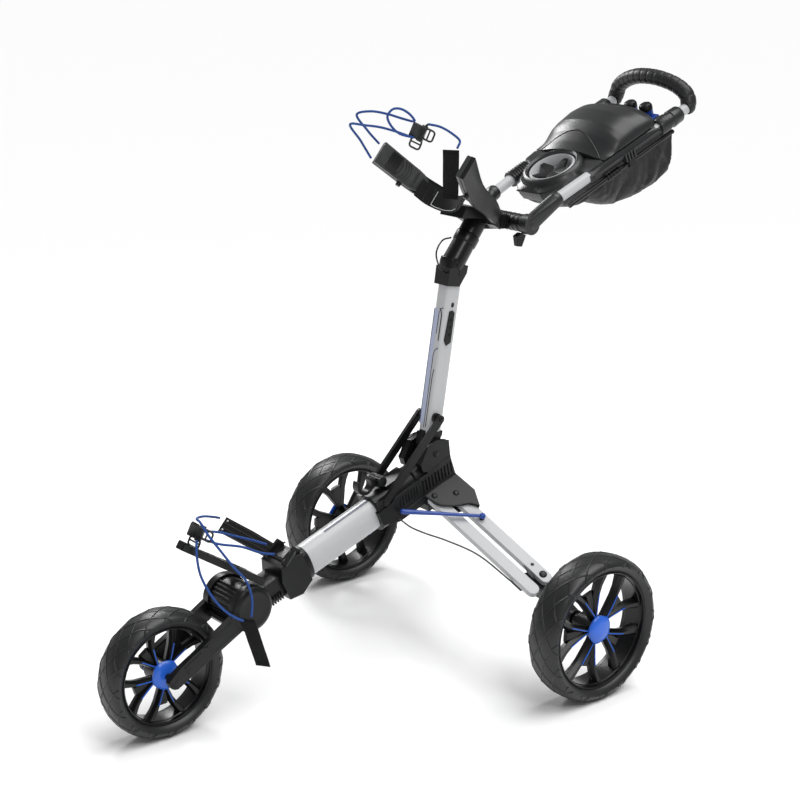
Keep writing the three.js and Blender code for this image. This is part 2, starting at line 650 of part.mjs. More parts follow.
// ---- handle ----
const handlePoint = (x, s, m) => arr(at(HANDLE_FRAME, x, s, m));
const handleX = (s) => 79 + ((s + 11) * 18) / 349;
function handleLine(s0, s1, r, n = 20) {
  return rod(handlePoint(handleX(s0), s0, 0), handlePoint(handleX(s1), s1, 0), r, r, n);
}
function handleFork(side) {
  const [, by, bz] = BARREL;
  const eye = rod([58, by, bz], [76, by, bz], 19, 19, 20);
  const neckPart = hull([
    ...disc(by, bz, 15, 14).flatMap(([a, b]) => [[59, a, b], [75, a, b]]),
    ...[0, 1, 2, 3, 4, 5, 6, 7].map((i) => {
      const a = (Math.PI * i) / 4;
      return handlePoint(79 + 15 * Math.cos(a), -14, 15 * Math.sin(a));
    }),
  ]);
  const socket = rod(handlePoint(79, -15, 0), handlePoint(80.5, 26, 0), 15, 14, 16);
  let body = join(eye, neckPart, socket);
  body = cut(body, handleLine(-12, 30, TUBE_R + GAP));
  body = cut(body, rod([50, by, bz], [80, by, bz], 6 + GAP, 6 + GAP, 16));
  return side > 0 ? body : mirrored(body);
}
function handleTube(side) {
  const open = cut(handleLine(-11, 338, TUBE_R), handleLine(-12, 339, TUBE_R - 1.8, 16));
  return side > 0 ? open : mirrored(open);
}
function grip() {
  const half = [
    [97.1, 339.6, 0], [97.4, 345, 0.6], [94, 354, 12], [87, 357, 24], [65, 359, 38], [30, 357, 50],
    [8, 356.5, 52.5],
  ];
  const pts = half.map(([x, s, m]) => handlePoint(x, s, m));
  const other = half.map(([x, s, m]) => handlePoint(-x, s, m)).reverse();
  return pipe([...pts, ...other], 15.5, 12, 10);
}
// console outline: half width against the distance up the handle
const PLAN = [
  [34, -12], [54, 10], [64, 40], [66, 57], [69, 104], [74, 160], [77, 215], [76, 255], [60, 270],
];
const planRing = (inset, from = 0) => [
  ...PLAN.slice(from).map(([x, s]) => [x - inset, s]),
  ...PLAN.slice(from).reverse().map(([x, s]) => [-(x - inset), s]),
];
function consoleTray() {
  const floor = planRing(0).flatMap(([x, s]) => [
    handlePoint(x, s, 6), handlePoint(x * 0.9, s * 0.97 + 3, -22),
  ]);
  const body = hull(floor);
  const brow = hull([
    ...disc(0, 55, 62, 24).map(([x, s]) => handlePoint(x, s, 5)),
    ...disc(0, 57, 54, 24).map(([x, s]) => handlePoint(x, s, 20)),
  ]);
  const rimRing = hull([
    ...disc(0, 70, 60, 20).map(([x, s]) => handlePoint(x, s, 5)),
    ...disc(0, 60, 52, 20).map(([x, s]) => handlePoint(x, s, 21)),
  ]);
  const clamp = (side) => {
    const s0 = 258;
    const shape = hull([
      ...disc(0, 0, 16, 14).flatMap(([x, m]) => [
        handlePoint(side * 93 + x, s0, m), handlePoint(side * 95.5 + x, 318, m),
      ]),
      handlePoint(side * 66, s0 - 6, 5), handlePoint(side * 66, s0 - 6, -14),
      handlePoint(side * 66, 290, -8),
    ]);
    return shape;
  };
  const shelf = block(-60, 70, 262, 302, -8, -0.3, HANDLE_FRAME);
  const fairing = (side) => hull([
    [66, 60, 4], [66, 60, -11], [92, 64, 9], [95, 64, -9], [76, 262, 5], [76, 262, -12], [101, 262, 9],
    [106, 262, -10],
  ].map(([x, s, m]) => handlePoint(side * x, s, m)));
  let all = join(body, brow, rimRing, clamp(1), clamp(-1), fairing(1), fairing(-1), shelf);
  const well = hull(planRing(5, 4).flatMap(([x, s]) => {
    const k = s < 120 ? 120 : Math.min(s, 262);
    return [handlePoint(x, k, 12), handlePoint(x * 0.9, k, -18)];
  }));
  const cup = hull(disc(0, 57, 46, 22).flatMap(([x, s]) => [
    handlePoint(x, s, 60), handlePoint(x, s, -40),
  ]));
  all = cut(all, well, cup);
  const line = handleLine(-12, 339, TUBE_R + GAP);
  const seat = block(-78.5, 78.5, 107.7, 271.7, 6, 90, HANDLE_FRAME);
  return cut(all, line, mirrored(line), seat);
}
function cupLiner() {
  const ring = (r, m0, m1) => hull(disc(0, 57, r, 22).flatMap(([x, s]) => [
    handlePoint(x, s, m0), handlePoint(x, s, m1),
  ]));
  return cut(ring(46 - GAP, -24, 19), ring(42, -30, 30));
}
function cupFins() {
  const ring = (r, m0, m1) => hull(disc(0, 57, r, 22).flatMap(([x, s]) => [
    handlePoint(x, s, m0), handlePoint(x, s, m1),
  ]));
  let body = cut(ring(43, -24, -14), ring(38, -30, 30));
  for (let i = 0; i < 5; i += 1) {
    const a = (2 * Math.PI * i) / 5 + 0.5;
    const p = (r, turn, m) => handlePoint(r * Math.cos(a + turn), 57 + r * Math.sin(a + turn), m);
    body = join(body, hull([
      p(41, -0.42, -20), p(41, 0.42, -20), p(41, -0.42, -17), p(41, 0.42, -17),
      p(15, -0.5, -14), p(15, 0.5, -14), p(15, -0.5, -12), p(15, 0.5, -12),
    ]));
  }
  return body;
}
// height of the lid's brim above the tubes' axes
const BRIM_HEIGHT = 14;
function consoleLid() {
  const crown = [
    [52, 112, 32], [60, 160, 47], [60, 215, 47], [44, 256, 33], [0, 112, 40], [0, 160, 60], [0, 215, 60],
    [0, 260, 46],
  ];
  const brim = [[95, 113], [98, 170], [99, 228]];
  const shell = (k, drop) => hull([
    ...planRing(k, 4).map(([x, s]) => [x, s < 108 ? 108 + k : Math.min(s, 270 - k)])
      .flatMap(([x, s]) => [handlePoint(x, s, 6 + GAP - drop), handlePoint(x * 0.98, s, 13 - k)]),
    ...brim.flatMap(([x, s]) => [-1, 1].map((side) => (
      handlePoint(side * (x - k), s < 120 ? s + k : s, BRIM_HEIGHT + 2.5 - drop * 0.6)))),
    ...crown.flatMap(([x, s, m]) => {
      const t = s < 120 ? s + k : Math.min(s, 262 - k);
      return [handlePoint(x, t, m - k), handlePoint(-x, t, m - k)];
    }),
  ]);
  return cut(shell(0, 0), shell(3.2, 4));
}
function lidLatch() {
  return hull([
    handlePoint(-16, 262, 14), handlePoint(16, 262, 14), handlePoint(-13, 255, 46),
    handlePoint(13, 255, 46),
    handlePoint(-16, 275, 10), handlePoint(16, 275, 10), handlePoint(-12, 268, 47),
    handlePoint(12, 268, 47),
  ]);
}
function ballClips() {
  const cup = (x, s) => rod(handlePoint(x, s, 5), handlePoint(x, s, 34), 12, 13, 14);
  const strip = block(-14, 62, 277, 300, 0, 6, HANDLE_FRAME);
  return join(strip, cup(2, 290), cup(44, 288));
}
function accessoryBag() {
  const side = [[8, -24], [21, -34], [91, -59], [198, -98], [284, -95], [302, -84], [306, -50], [306, -26]];
  const half = [60, 66, 74, 76, 76, 74, 76, 78];
  return hull(side.flatMap(([s, m], i) => [handlePoint(half[i], s, m), handlePoint(-half[i], s, m)]));
}
function bagRail() {
  return rod(handlePoint(90, -4, -22), handlePoint(98, 290, -23), 4.2, 4.2, 10);
}
function lockLever() {
  return hull([
    [40, 92, 784], [52, 92, 784], [40, 116, 784], [52, 116, 784],
    [42, 94, 758], [52, 94, 758], [42, 106, 756], [52, 106, 756], [40, 104, 789.5], [52, 104, 789.5],
  ]);
}
function brakeCable() {
  return pipe([[37, -176, 286], [60, -170, 276], [90, -160, 270], [130, -142, 263], [180, -112, 244],
    [225, -66, 192]], 1.6);
}

// ---- assembly ----
function build() {
  const half = TRACK / 2;
  wheelSet('rear_left', half, 0, REAR_R, REAR_R, REAR_TYRE_W, 1);
  wheelSet('rear_right', -half, 0, REAR_R, REAR_R, REAR_TYRE_W, -1);
  wheelSet('front', 0, -WHEELBASE, FRONT_R, FRONT_R, FRONT_TYRE_W, 1, true);
  add('front_tube', frontTube(), WHITE);
  add('hub_rear', hubRear(), BLACK);
  add('slider', slider(), BLACK);
  add('catch_hook', catchHook(), BLACK);
  add('fold_bolt', foldBolt(), STEEL);
  add('lower_cradle', lowerCradle(), BLACK);
  add('base_rest', baseRest(), BLACK);
  add('fork', fork(), BLACK);
  for (const [side, tag] of [[1, 'left'], [-1, 'right']]) {
    const [upper, lower] = legBars(side);
    add(`leg_bar_${tag}`, upper, WHITE);
    add(`leg_link_${tag}`, lower, WHITE);
    add(`bracket_${tag}`, wheelBracket(side), BLACK);
    add(`release_${tag}`, releaseKnob(side), BLUE);
    add(`push_rod_${tag}`, pushRod(side), BLUE);
    add(`strut_${tag}`, strut(side), BLACK);
    add(`cradle_pad_${tag}`, cradlePad(side), RUBBER);
    add(`handle_fork_${tag}`, handleFork(side), BLACK);
    add(`handle_tube_${tag}`, handleTube(side), WHITE);
  }
  add('upper_tube', upperTube(), WHITE);
  add('tube_foot', tubeFoot(), BLACK);
  add('neck', neck(), BLACK);
  add('cradle_head', cradleHead(), BLACK);
  add('sling_band', slingBand(), CLOTH);
  add('hook_upper', hook([-10, -94, 985]), BLACK);
  add('hook_lower', hook([-2, -590, 349]), BLACK);
  add('tab_upper', tab(40, -62, 956, 88, 30, 0), CLOTH);
  add('tab_lower', tab(68.5, -541, 199, 98, 28, 0.32), CLOTH);
  add('grip', grip(), RUBBER);
  add('console_tray', consoleTray(), SHELL);
  add('console_lid', join(consoleLid(), lidLatch()), SHELL);
  add('cup_liner', join(cupLiner(), cupFins()), LINER);
  add('ball_clips', ballClips(), BLUE);
  add('accessory_bag', accessoryBag(), CLOTH);
  add('bag_rail', bagRail(), BLACK);
  add('lock_lever', lockLever(), BLACK);
  add('brake_cable', brakeCable(), STEEL);
  for (const [name, points] of Object.entries(CORDS)) add(name, pipe(points, CORD_R), CORD_BLUE);
}
build();

export default cart;
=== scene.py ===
"""Golf push cart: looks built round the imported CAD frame. Lengths in millimetres until they reach a mesh."""
from math import atan2, copysign, cos, exp, pi, radians, sin, sqrt, tau

import bpy
import bmesh
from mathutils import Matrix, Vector


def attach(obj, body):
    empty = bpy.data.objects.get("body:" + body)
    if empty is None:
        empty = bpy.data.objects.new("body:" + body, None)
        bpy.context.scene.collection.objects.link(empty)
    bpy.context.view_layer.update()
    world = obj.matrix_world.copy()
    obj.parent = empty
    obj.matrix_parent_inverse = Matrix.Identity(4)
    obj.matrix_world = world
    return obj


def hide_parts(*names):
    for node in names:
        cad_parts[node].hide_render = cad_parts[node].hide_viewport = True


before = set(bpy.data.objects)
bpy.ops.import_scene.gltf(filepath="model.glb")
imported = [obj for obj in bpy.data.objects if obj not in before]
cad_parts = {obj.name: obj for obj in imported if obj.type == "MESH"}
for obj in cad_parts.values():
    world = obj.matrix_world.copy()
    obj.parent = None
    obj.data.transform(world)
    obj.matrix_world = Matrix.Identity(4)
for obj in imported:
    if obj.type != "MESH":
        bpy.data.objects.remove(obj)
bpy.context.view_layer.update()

Y_SHIFT = 135.111
REAR_R = 135.0
FRONT_R = 114.0
SIDES = (("left", 1), ("right", -1))
# places in (y, z) that more than one piece uses
FOLD_BOLT, STRUT_TOP = (-86, 393), (-73, 457)
FORK_JOINT, FRONT_AXLE = (-514, 202), (-673, 114)
BARREL = (108, 807)
FLOOR_HALF = 70
CUP_S = 57


# ---------- frames ----------
def metres(p):
    return Vector((p[0], p[1] + Y_SHIFT, p[2])) / 1000


def unit(*v):
    return Vector(v).normalized()


class Axes:
    """A local frame in design millimetres; calling it gives a point in metres."""

    def __init__(self, origin, ex, ey, ez, flip=1):
        self.o, self.e, self.flip = Vector(origin), (ex, ey, ez), flip

    def mm(self, a, b, c):
        p = self.o + self.e[0] * a + self.e[1] * b + self.e[2] * c
        return Vector((p.x * self.flip, p.y, p.z))

    def __call__(self, a, b, c):
        return metres(self.mm(a, b, c))

    def each(self, points):
        return [self(*p) for p in points]


X = Vector((1, 0, 0))
tube_dir = unit(0, 155, 56)
TUBE = Axes((0, -373, 239), tube_dir, X.cross(tube_dir), X)
WORLD = Axes((0, 0, 0), X, Vector((0, 1, 0)), Vector((0, 0, 1)))
LEG_ROOT, LEG_TIP = Vector((55.4, -56.8, 309.1)), Vector((251.7, -16.1, 199.7))
LEG_LEN = (LEG_TIP - LEG_ROOT).length
leg_dir = (LEG_TIP - LEG_ROOT).normalized()
leg_up = leg_dir.cross(tube_dir).normalized()
leg_back = leg_up.cross(leg_dir).normalized()
POST_FOOT, POST_HEAD = Vector((0, -74, 423)), Vector((0, -25, 714))
post_dir = (POST_HEAD - POST_FOOT).normalized()
POST = Axes(POST_FOOT, X, post_dir.cross(X).normalized(), post_dir)
POST_LEN = (POST_HEAD - POST_FOOT).length
hand_dir = unit(0, 0.914, 0.407)
HAND = Axes((0, 183, 857), X, hand_dir, X.cross(hand_dir).normalized())
LINK_D, LINK_B = -21, -36


def leg_axes(side):
    return Axes(LEG_ROOT, leg_dir, leg_back, leg_up, side)


# ---------- mesh builders: each returns (vertices in metres, faces) ----------
def loft(rings, caps=True, loop=False):
    n = len(rings[0])
    verts = [v for r in rings for v in r]
    faces = []
    count = len(rings)
    for i in range(count if loop else count - 1):
        a, b = i * n, ((i + 1) % count) * n
        faces += [(a + k, a + (k + 1) % n, b + (k + 1) % n, b + k) for k in range(n)]
    if caps and not loop:
        faces.append(tuple(range(n))[::-1])
        faces.append(tuple(range((count - 1) * n, count * n)))
    return verts, faces


def heading(points, i):
    """The direction of a line of points at its point i."""
    return (points[min(i + 1, len(points) - 1)] - points[max(i - 1, 0)]).normalized()


def flipped(v, side):
    return Vector((v.x * side, v.y, v.z))


def circle(n):
    """Cosine and sine at n even steps round a circle."""
    return [(cos(tau * k / n), sin(tau * k / n)) for k in range(n)]


def spread(xs, outline, axes=WORLD):
    """The points of an outline in (y, z), once at each x."""
    return [axes(x, y, z) for x in xs for y, z in outline]


def prism(outline, z0, z1, axes):
    return loft([[axes(x, y, z) for x, y in outline] for z in (z0, z1)])


def xprism(outline, x0, x1):
    """A prism along X of an outline in (y, z)."""
    return loft([[metres((x, y, z)) for y, z in outline] for x in (x0, x1)])


def disc(cx, cy, r, n=32):
    return [(cx + r * c, cy + r * s) for c, s in circle(n)]


def oval(hx, hy, n=56, power=2.3):
    return [(hx * copysign(abs(c) ** (2 / power), c), hy * copysign(abs(s) ** (2 / power), s))
            for c, s in circle(n)]


def slot(x0, y0, x1, y1, r, n=24):
    """The outline of a bar with round ends."""
    tilt, half = atan2(y1 - y0, x1 - x0), n // 2
    out = []
    for x, y, start in ((x0, y0, tilt + pi / 2), (x1, y1, tilt - pi / 2)):
        out += [(x + r * cos(start + pi * i / half), y + r * sin(start + pi * i / half))
                for i in range(half + 1)]
    return out


def basis(direction):
    d = Vector(direction).normalized()
    side = d.cross(Vector((0, 0, 1)))
    if side.length < 1e-3:
        side = d.cross(Vector((0, 1, 0)))
    side.normalize()
    return side, side.cross(d).normalized()


def turn(p, q, profile, n=32):
    """Rings of (distance along p to q, radius) round the line through p and q."""
    p, q = Vector(p), Vector(q)
    d = (q - p).normalized()
    a, b = basis(d)
    return loft([[metres(p + d * h + (a * c + b * s) * r) for c, s in circle(n)] for h, r in profile])


def rod(p, q, r0, r1=None, n=28):
    length = (Vector(q) - Vector(p)).length
    return turn(p, q, [(0, r0), (length, r0 if r1 is None else r1)], n)


def spline(points, step=4.0):
    """A centripetal curve through the points, in millimetres."""
    pts = [Vector(p) for p in points]
    pts = [2 * pts[0] - pts[1]] + pts + [2 * pts[-1] - pts[-2]]
    out = []
    for i in range(1, len(pts) - 2):
        p0, p1, p2, p3 = pts[i - 1:i + 3]
        t0 = 0.0
        t1 = t0 + max((p1 - p0).length, 1e-6) ** 0.5
        t2 = t1 + max((p2 - p1).length, 1e-6) ** 0.5
        t3 = t2 + max((p3 - p2).length, 1e-6) ** 0.5
        n = max(2, int((p2 - p1).length / step))
        for k in range(n):
            t = t1 + (t2 - t1) * k / n
            a1 = p0 * ((t1 - t) / (t1 - t0)) + p1 * ((t - t0) / (t1 - t0))
            a2 = p1 * ((t2 - t) / (t2 - t1)) + p2 * ((t - t1) / (t2 - t1))
            a3 = p2 * ((t3 - t) / (t3 - t2)) + p3 * ((t - t2) / (t3 - t2))
            b1 = a1 * ((t2 - t) / (t2 - t0)) + a2 * ((t - t0) / (t2 - t0))
            b2 = a2 * ((t3 - t) / (t3 - t1)) + a3 * ((t - t1) / (t3 - t1))
            out.append(b1 * ((t2 - t) / (t2 - t1)) + b2 * ((t - t1) / (t2 - t1)))
    out.append(pts[-2])
    return out


def sweep(points, radius, n=24):
    """A round tube along points; radius is a number or a function of the share along it."""
    rings, total = [], len(points) - 1
    d = (points[1] - points[0]).normalized()
    a = basis(d)[0].normalized()
    for i, p in enumerate(points):
        d = heading(points, i)
        a = (a - d * a.dot(d)).normalized()
        b = d.cross(a)
        r = radius(i / total) if callable(radius) else radius
        rings.append([metres(p + (a * c + b * s) * r) for c, s in circle(n)])
    return loft(rings)


def hull(points):
    bm = bmesh.new()
    for p in points:
        bm.verts.new(p)
    out = bmesh.ops.convex_hull(bm, input=bm.verts)
    gone = [g for g in out["geom_interior"] + out["geom_unused"] if isinstance(g, bmesh.types.BMVert)]
    bmesh.ops.delete(bm, geom=list(dict.fromkeys(gone)), context="VERTS")
    bmesh.ops.dissolve_limit(bm, angle_limit=radians(1.5), verts=bm.verts, edges=bm.edges)
    bm.verts.index_update()
    verts = [v.co.copy() for v in bm.verts]
    faces = [tuple(v.index for v in f.verts) for f in bm.faces]
    bm.free()
    return verts, faces


def box(x0, x1, y0, y1, z0, z1, axes=WORLD):
    return prism([(x0, y0), (x1, y0), (x1, y1), (x0, y1)], z0, z1, axes)


def ball(c, r, n=20):
    c = Vector(c)
    rings = []
    for i in range(1, n // 2):
        t = pi * i / (n // 2)
        rings.append([metres(c + Vector((r * sin(t) * u, r * sin(t) * v, r * cos(t))))
                for u, v in circle(n)])
    return loft(rings)


def bolt(centre, normal, r=6.0, high=2.6, hole=2.6):
    """A button-head bolt with a six-sided socket."""
    c, d = Vector(centre), Vector(normal).normalized()
    head = turn(c - d * 1.5, c + d, [(0, r), (1.5, r), (1.5 + high * 0.6, r * 0.86), (1.5 + high, r * 0.5)],
            28)
    socket = turn(c + d * (high - 0.4), c + d * 20, [(0, hole), (0.7, hole)], 6)
    return head, socket


# ---------- objects ----------
def add(name, data):
    obj = bpy.data.objects.new(name, data)
    bpy.context.scene.collection.objects.link(obj)
    return obj


def new_mesh(name, parts, smooth=35):
    verts, faces = [], []
    for v, f in parts:
        base = len(verts)
        verts += v
        faces += [tuple(i + base for i in face) for face in f]
    mesh = bpy.data.meshes.new(name)
    mesh.from_pydata(verts, [], faces)
    bm = bmesh.new()
    bm.from_mesh(mesh)
    bmesh.ops.recalc_face_normals(bm, faces=bm.faces)
    bm.to_mesh(mesh)
    bm.free()
    mesh.polygons.foreach_set("use_smooth", [True] * len(mesh.polygons))
    mesh.set_sharp_from_angle(angle=radians(smooth))
    return mesh


def piece(name, parts, material, body, bevel=0.7, stands=(), smooth=35, segments=2):
    obj = add(name, new_mesh(name, parts, smooth))
    obj.data.materials.append(material)
    if bevel:
        mod = obj.modifiers.new("edge", "BEVEL")
        mod.width = bevel / 1000
        mod.segments = segments
        mod.limit_method = "ANGLE"
        mod.angle_limit = radians(32)
        mod.harden_normals = True
    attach(obj, body)
    if stands:
        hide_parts(*stands)
    return obj


# ---------- materials ----------
def material(name, color, rough, metal=0.0, bump=None, coat=0.0, mottle=0.0, sheen=0.0, spec=0.5):
    mat = bpy.data.materials.new(name)
    mat.use_nodes = True
    nodes, links = mat.node_tree.nodes, mat.node_tree.links
    shader = nodes["Principled BSDF"]
    for socket, value in (("Base Color", (*color, 1)), ("Roughness", rough), ("Metallic", metal),
            ("Coat Weight", coat), ("Sheen Weight", sheen), ("Specular IOR Level", spec)):
        shader.inputs[socket].default_value = value
    where = nodes.new("ShaderNodeTexCoord").outputs["Object"]
    if mottle:
        noise = nodes.new("ShaderNodeTexNoise")
        noise.inputs["Scale"].default_value = 60
        links.new(where, noise.inputs["Vector"])
        mix = nodes.new("ShaderNodeMix")
        mix.data_type = "RGBA"
        mix.inputs[6].default_value = (*[c * (1 - mottle) for c in color], 1)
        mix.inputs[7].default_value = (*[min(1, c * (1 + mottle)) for c in color], 1)
        links.new(noise.outputs["Fac"], mix.inputs[0])
        links.new(mix.outputs[2], shader.inputs["Base Color"])
    if bump:
        kind, scale, depth = bump
        if kind == "grain":
            tex = nodes.new("ShaderNodeTexNoise")
            tex.inputs["Scale"].default_value = scale
            tex.inputs["Detail"].default_value = 3
            links.new(where, tex.inputs["Vector"])
            height = tex.outputs["Fac"]
        else:
            height = weave(nodes, links, where, scale)
        node = nodes.new("ShaderNodeBump")
        node.inputs["Strength"].default_value = depth
        node.inputs["Distance"].default_value = 0.0004
        links.new(height, node.inputs["Height"])
        links.new(node.outputs["Normal"], shader.inputs["Normal"])
    return mat


def weave(nodes, links, where, scale):
    waves = []
    for axis in ("X", "Z", "Y"):
        wave = nodes.new("ShaderNodeTexWave")
        wave.bands_direction = axis
        wave.inputs["Scale"].default_value = scale
        wave.inputs["Distortion"].default_value = 0.4
        links.new(where, wave.inputs["Vector"])
        waves.append(wave.outputs["Fac"])
    total = waves[0]
    for other in waves[1:]:
        node = nodes.new("ShaderNodeMath")
        node.operation = "ADD"
        links.new(total, node.inputs[0])
        links.new(other, node.inputs[1])
        total = node.outputs[0]
    return total


MATT = material("matt_black", (0.0040, 0.0041, 0.0043), 0.75, 0, ("grain", 1400, 0.4), spec=0.15)
WHITE = material("paint_white", (0.47, 0.478, 0.488), 0.38, 0, ("grain", 900, 0.05), coat=0.1, spec=0.35)
BLACK = material("moulding_black", (0.0050, 0.0052, 0.0055), 0.36, 0, ("grain", 1400, 0.25), spec=0.30)
SHELL = material("shell_grey", (0.0165, 0.017, 0.018), 0.33, 0, ("grain", 1600, 0.12), spec=0.42)
RIM = material("rim_black", (0.0035, 0.0036, 0.0038), 0.30, 0, ("grain", 1000, 0.12), spec=0.33)
RUBBER = material("tyre_rubber", (0.0085, 0.0088, 0.0093), 0.40, 0, ("grain", 1200, 0.3), mottle=0.12,
        spec=0.5)
PAD = material("pad_rubber", (0.026, 0.0265, 0.0275), 0.36, 0, ("grain", 900, 0.2), spec=0.45)
BLUE = material("gloss_blue", (0.022, 0.125, 0.62), 0.28, 0, ("grain", 700, 0.05), coat=0.2, spec=0.4)
ROD_BLUE = material("rod_blue", (0.012, 0.055, 0.30), 0.35, 0, ("grain", 700, 0.05), coat=0.2, spec=0.4)
STEEL = material("zinc_steel", (0.45, 0.46, 0.48), 0.32, 0.95, ("grain", 900, 0.1))
CLOTH = material("nylon_black", (0.0065, 0.0067, 0.0072), 0.50, 0, ("weave", 420, 0.5), sheen=0.03,
        spec=0.4)
STRAP = material("webbing_black", (0.007, 0.0072, 0.0076), 0.80, 0, ("weave", 300, 0.6), sheen=0.03,
        spec=0.2)
CORD = material("cord_blue", (0.018, 0.065, 0.26), 0.60, 0, ("weave", 260, 0.6), spec=0.3)
LINER = material("liner_grey", (0.50, 0.51, 0.52), 0.35, 0, ("grain", 900, 0.05))
CABLE = material("cable_grey", (0.05, 0.05, 0.052), 0.45, 0, ("grain", 900, 0.1))
GRIP = material("grip_wrap", (0.0125, 0.0128, 0.0135), 0.42, 0, ("grain", 500, 0.5), mottle=0.15, spec=0.4)
PALE_BLUE = material("stripe_pale", (0.40, 0.445, 0.60), 0.4, 0, ("grain", 900, 0.05))
NAVY = material("stripe_navy", (0.030, 0.042, 0.12), 0.4, 0, ("grain", 900, 0.05))
# near-black: the tubes' real painted lines, and also painted shade for the fork's holes and the pad's slots
STRIPE_AND_SHADE_BLACK = material("stripe_and_shade_black", (0.008, 0.0085, 0.010), 0.4, 0, ("grain", 900, 0.05), spec=0.3)

M_BLACK, M_WHITE, M_BLUE, M_CLOTH = "moulding_black", "tube_white", "cap_blue", "webbing_black"


# ---------- camera and light ----------
def set_camera():
    eye = metres((2274, -2008, 1360))
    target = metres((-0.3, -145.2, 500.8))
    cam = add("camera", bpy.data.cameras.new("camera"))
    cam.data.lens = 75.05
    cam.data.sensor_width = 36
    cam.location = eye
    cam.rotation_euler = (target - eye).to_track_quat("-Z", "Y").to_euler()
    bpy.context.scene.camera = cam


def area_light(name, at, target, size, power):
    light = add(name, bpy.data.lights.new(name, "AREA"))
    light.data.size = size
    light.data.energy = power
    light.location = at
    light.rotation_euler = (Vector(target) - Vector(at)).to_track_quat("-Z", "Y").to_euler()


def studio():
    world = bpy.data.worlds.new("studio")
    world.use_nodes = True
    world.node_tree.nodes["Background"].inputs["Color"].default_value = (1, 1, 1, 1)
    world.node_tree.nodes["Background"].inputs["Strength"].default_value = 0.30
    bpy.context.scene.world = world
    sun = add("overhead", bpy.data.lights.new("overhead", "SUN"))
    sun.data.energy = 2.55
    sun.data.angle = 0.9
    sun.rotation_euler = (radians(-12), radians(14), 0)
    area_light("key", (2.2, -0.6, 2.4), (0, 0, 0.5), 0.7, 18)
    area_light("rear", (-2.0, 0.4, 2.0), (0, 0, 0.6), 0.7, 30)
    mesh = bpy.data.meshes.new("floor")
    s = FLOOR_HALF
    mesh.from_pydata([(-s, -s, 0), (s, -s, 0), (s, s, 0), (-s, s, 0)], [], [(0, 1, 2, 3)])
    floor = add("floor", mesh)
    mesh.materials.append(material("floor_white", (0.93, 0.93, 0.93), 0.95, 0, ("grain", 40, 0.02),
            spec=0.1))
    bpy.context.scene.view_settings.view_transform = "Standard"


# ---------- cords ----------
CORDS = {"cord_upper_low": [(-117.5, -118, 930), (-110, -147, 964), (-92, -184, 999), (-74, -166, 997),
        (-55, -147, 994), (-38, -127, 987), (-22.5, -109, 979)],
        "cord_upper_high": [(-115, -101, 955), (-108, -133, 982), (-96, -166, 1015), (-78, -149, 1020),
        (-60, -125, 1015), (-40, -109, 1008), (-20, -100, 1004), (-12, -102, 1006), (-14, -112, 1018),
        (-18, -129, 1028), (-24, -142, 1028), (-28, -151, 1016), (-28, -144, 1000), (-22, -130, 985),
        (-14, -103, 976)], "cord_upper_end": [(2, -82, 999.5), (12, -62, 994), (26, -43, 980),
        (38, -39, 970), (44, -50, 958.8)], "cord_lower_left": [(9, -598, 338), (20, -606, 333),
        (27, -610, 316), (30, -606, 284), (40, -596, 253), (50, -581, 226), (60, -562, 206),
        (66, -546, 196)], "cord_lower_over": [(-88, -489, 326), (-55, -522, 345), (-30, -560, 362),
        (-8, -586, 370), (16, -594, 372), (32, -590, 354), (38, -570, 322), (44, -548, 288),
        (54, -530, 261), (64, -526, 231), (70, -532, 201)],
        "cord_lower_far": [(2, -584, 350), (0, -548, 339), (-2, -514, 323), (2, -484, 310),
        (10, -456, 297)], "cord_lower_near": [(6, -584, 337), (10, -555, 322), (16, -512, 308),
        (24, -476, 290), (28, -452, 283)], }
CORD_D = 4.4


def wire(name, points, radius, mat, body, node):
    curve = bpy.data.curves.new(name, "CURVE")
    curve.dimensions = "3D"
    curve.bevel_depth = radius / 1000
    curve.bevel_resolution = 5
    curve.use_fill_caps = True
    line = curve.splines.new("POLY")
    line.points.add(len(points) - 1)
    for p, q in zip(line.points, points):
        p.co = (*metres(q), 1)
    obj = add(name, curve)
    curve.materials.append(mat)
    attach(obj, body)
    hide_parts(node)
    return obj


def make_cords():
    for node, route in CORDS.items():
        points = spline(route, 3.0)
        body = "mast" if "upper" in node else "chassis"
        obj = wire("shock_" + node, points, CORD_D / 2, CORD, body, node)
    route = [(37, -176, 286), (60, -170, 276), (90, -160, 270), (130, -142, 263), (180, -112, 244),
            (225, -66, 192)]
    wire("cable", spline(route), 1.6, CABLE, "chassis", "brake_cable")


# ---------- wheels ----------
def polar(x, r, a):
    return Vector((x, r * sin(a), r * cos(a)))


def ring_loft(section, n=96):
    """A closed section of (radius, x) turned about X; local, in millimetres."""
    return loft([[polar(x, r, tau * k / n) for r, x in section] for k in range(n)], loop=True)


def tyre_radius(x, R, h):
    """The tyre's outer radius at a distance x from its middle plane."""
    knots = [(0, R - 0.4), (h - 26, R - 0.6), (h - 17, R - 2), (h - 9, R - 4.8), (h - 4, R - 9),
            (h - 2, R - 14)]
    x = abs(x)
    for (x0, r0), (x1, r1) in zip(knots, knots[1:]):
        if x <= x1:
            return r0 + (r1 - r0) * max(0.0, x - x0) / (x1 - x0)
    return knots[-1][1]


def tread(R, h, count, reach):
    """Raised lines that cross the tread both ways and make diamonds."""
    out = []
    half = h - 2.2
    for lean in (-1, 1):
        for k in range(count):
            start = tau * k / count
            line = []
            for j in range(33):
                f = j / 32
                x = -half + 2 * half * f
                a = start + lean * reach * (f - 0.5)
                r = tyre_radius(x, R, h) - 1.0
                line.append(polar(x, r, a))
            out.append(local_sweep(line, 2.1, 7))
    return out


def local_sweep(points, radius, n):
    rings = []
    for i, p in enumerate(points):
        a, b = basis(heading(points, i))
        rings.append([p + (a * c + b * s) * radius for c, s in circle(n)])
    return loft(rings)


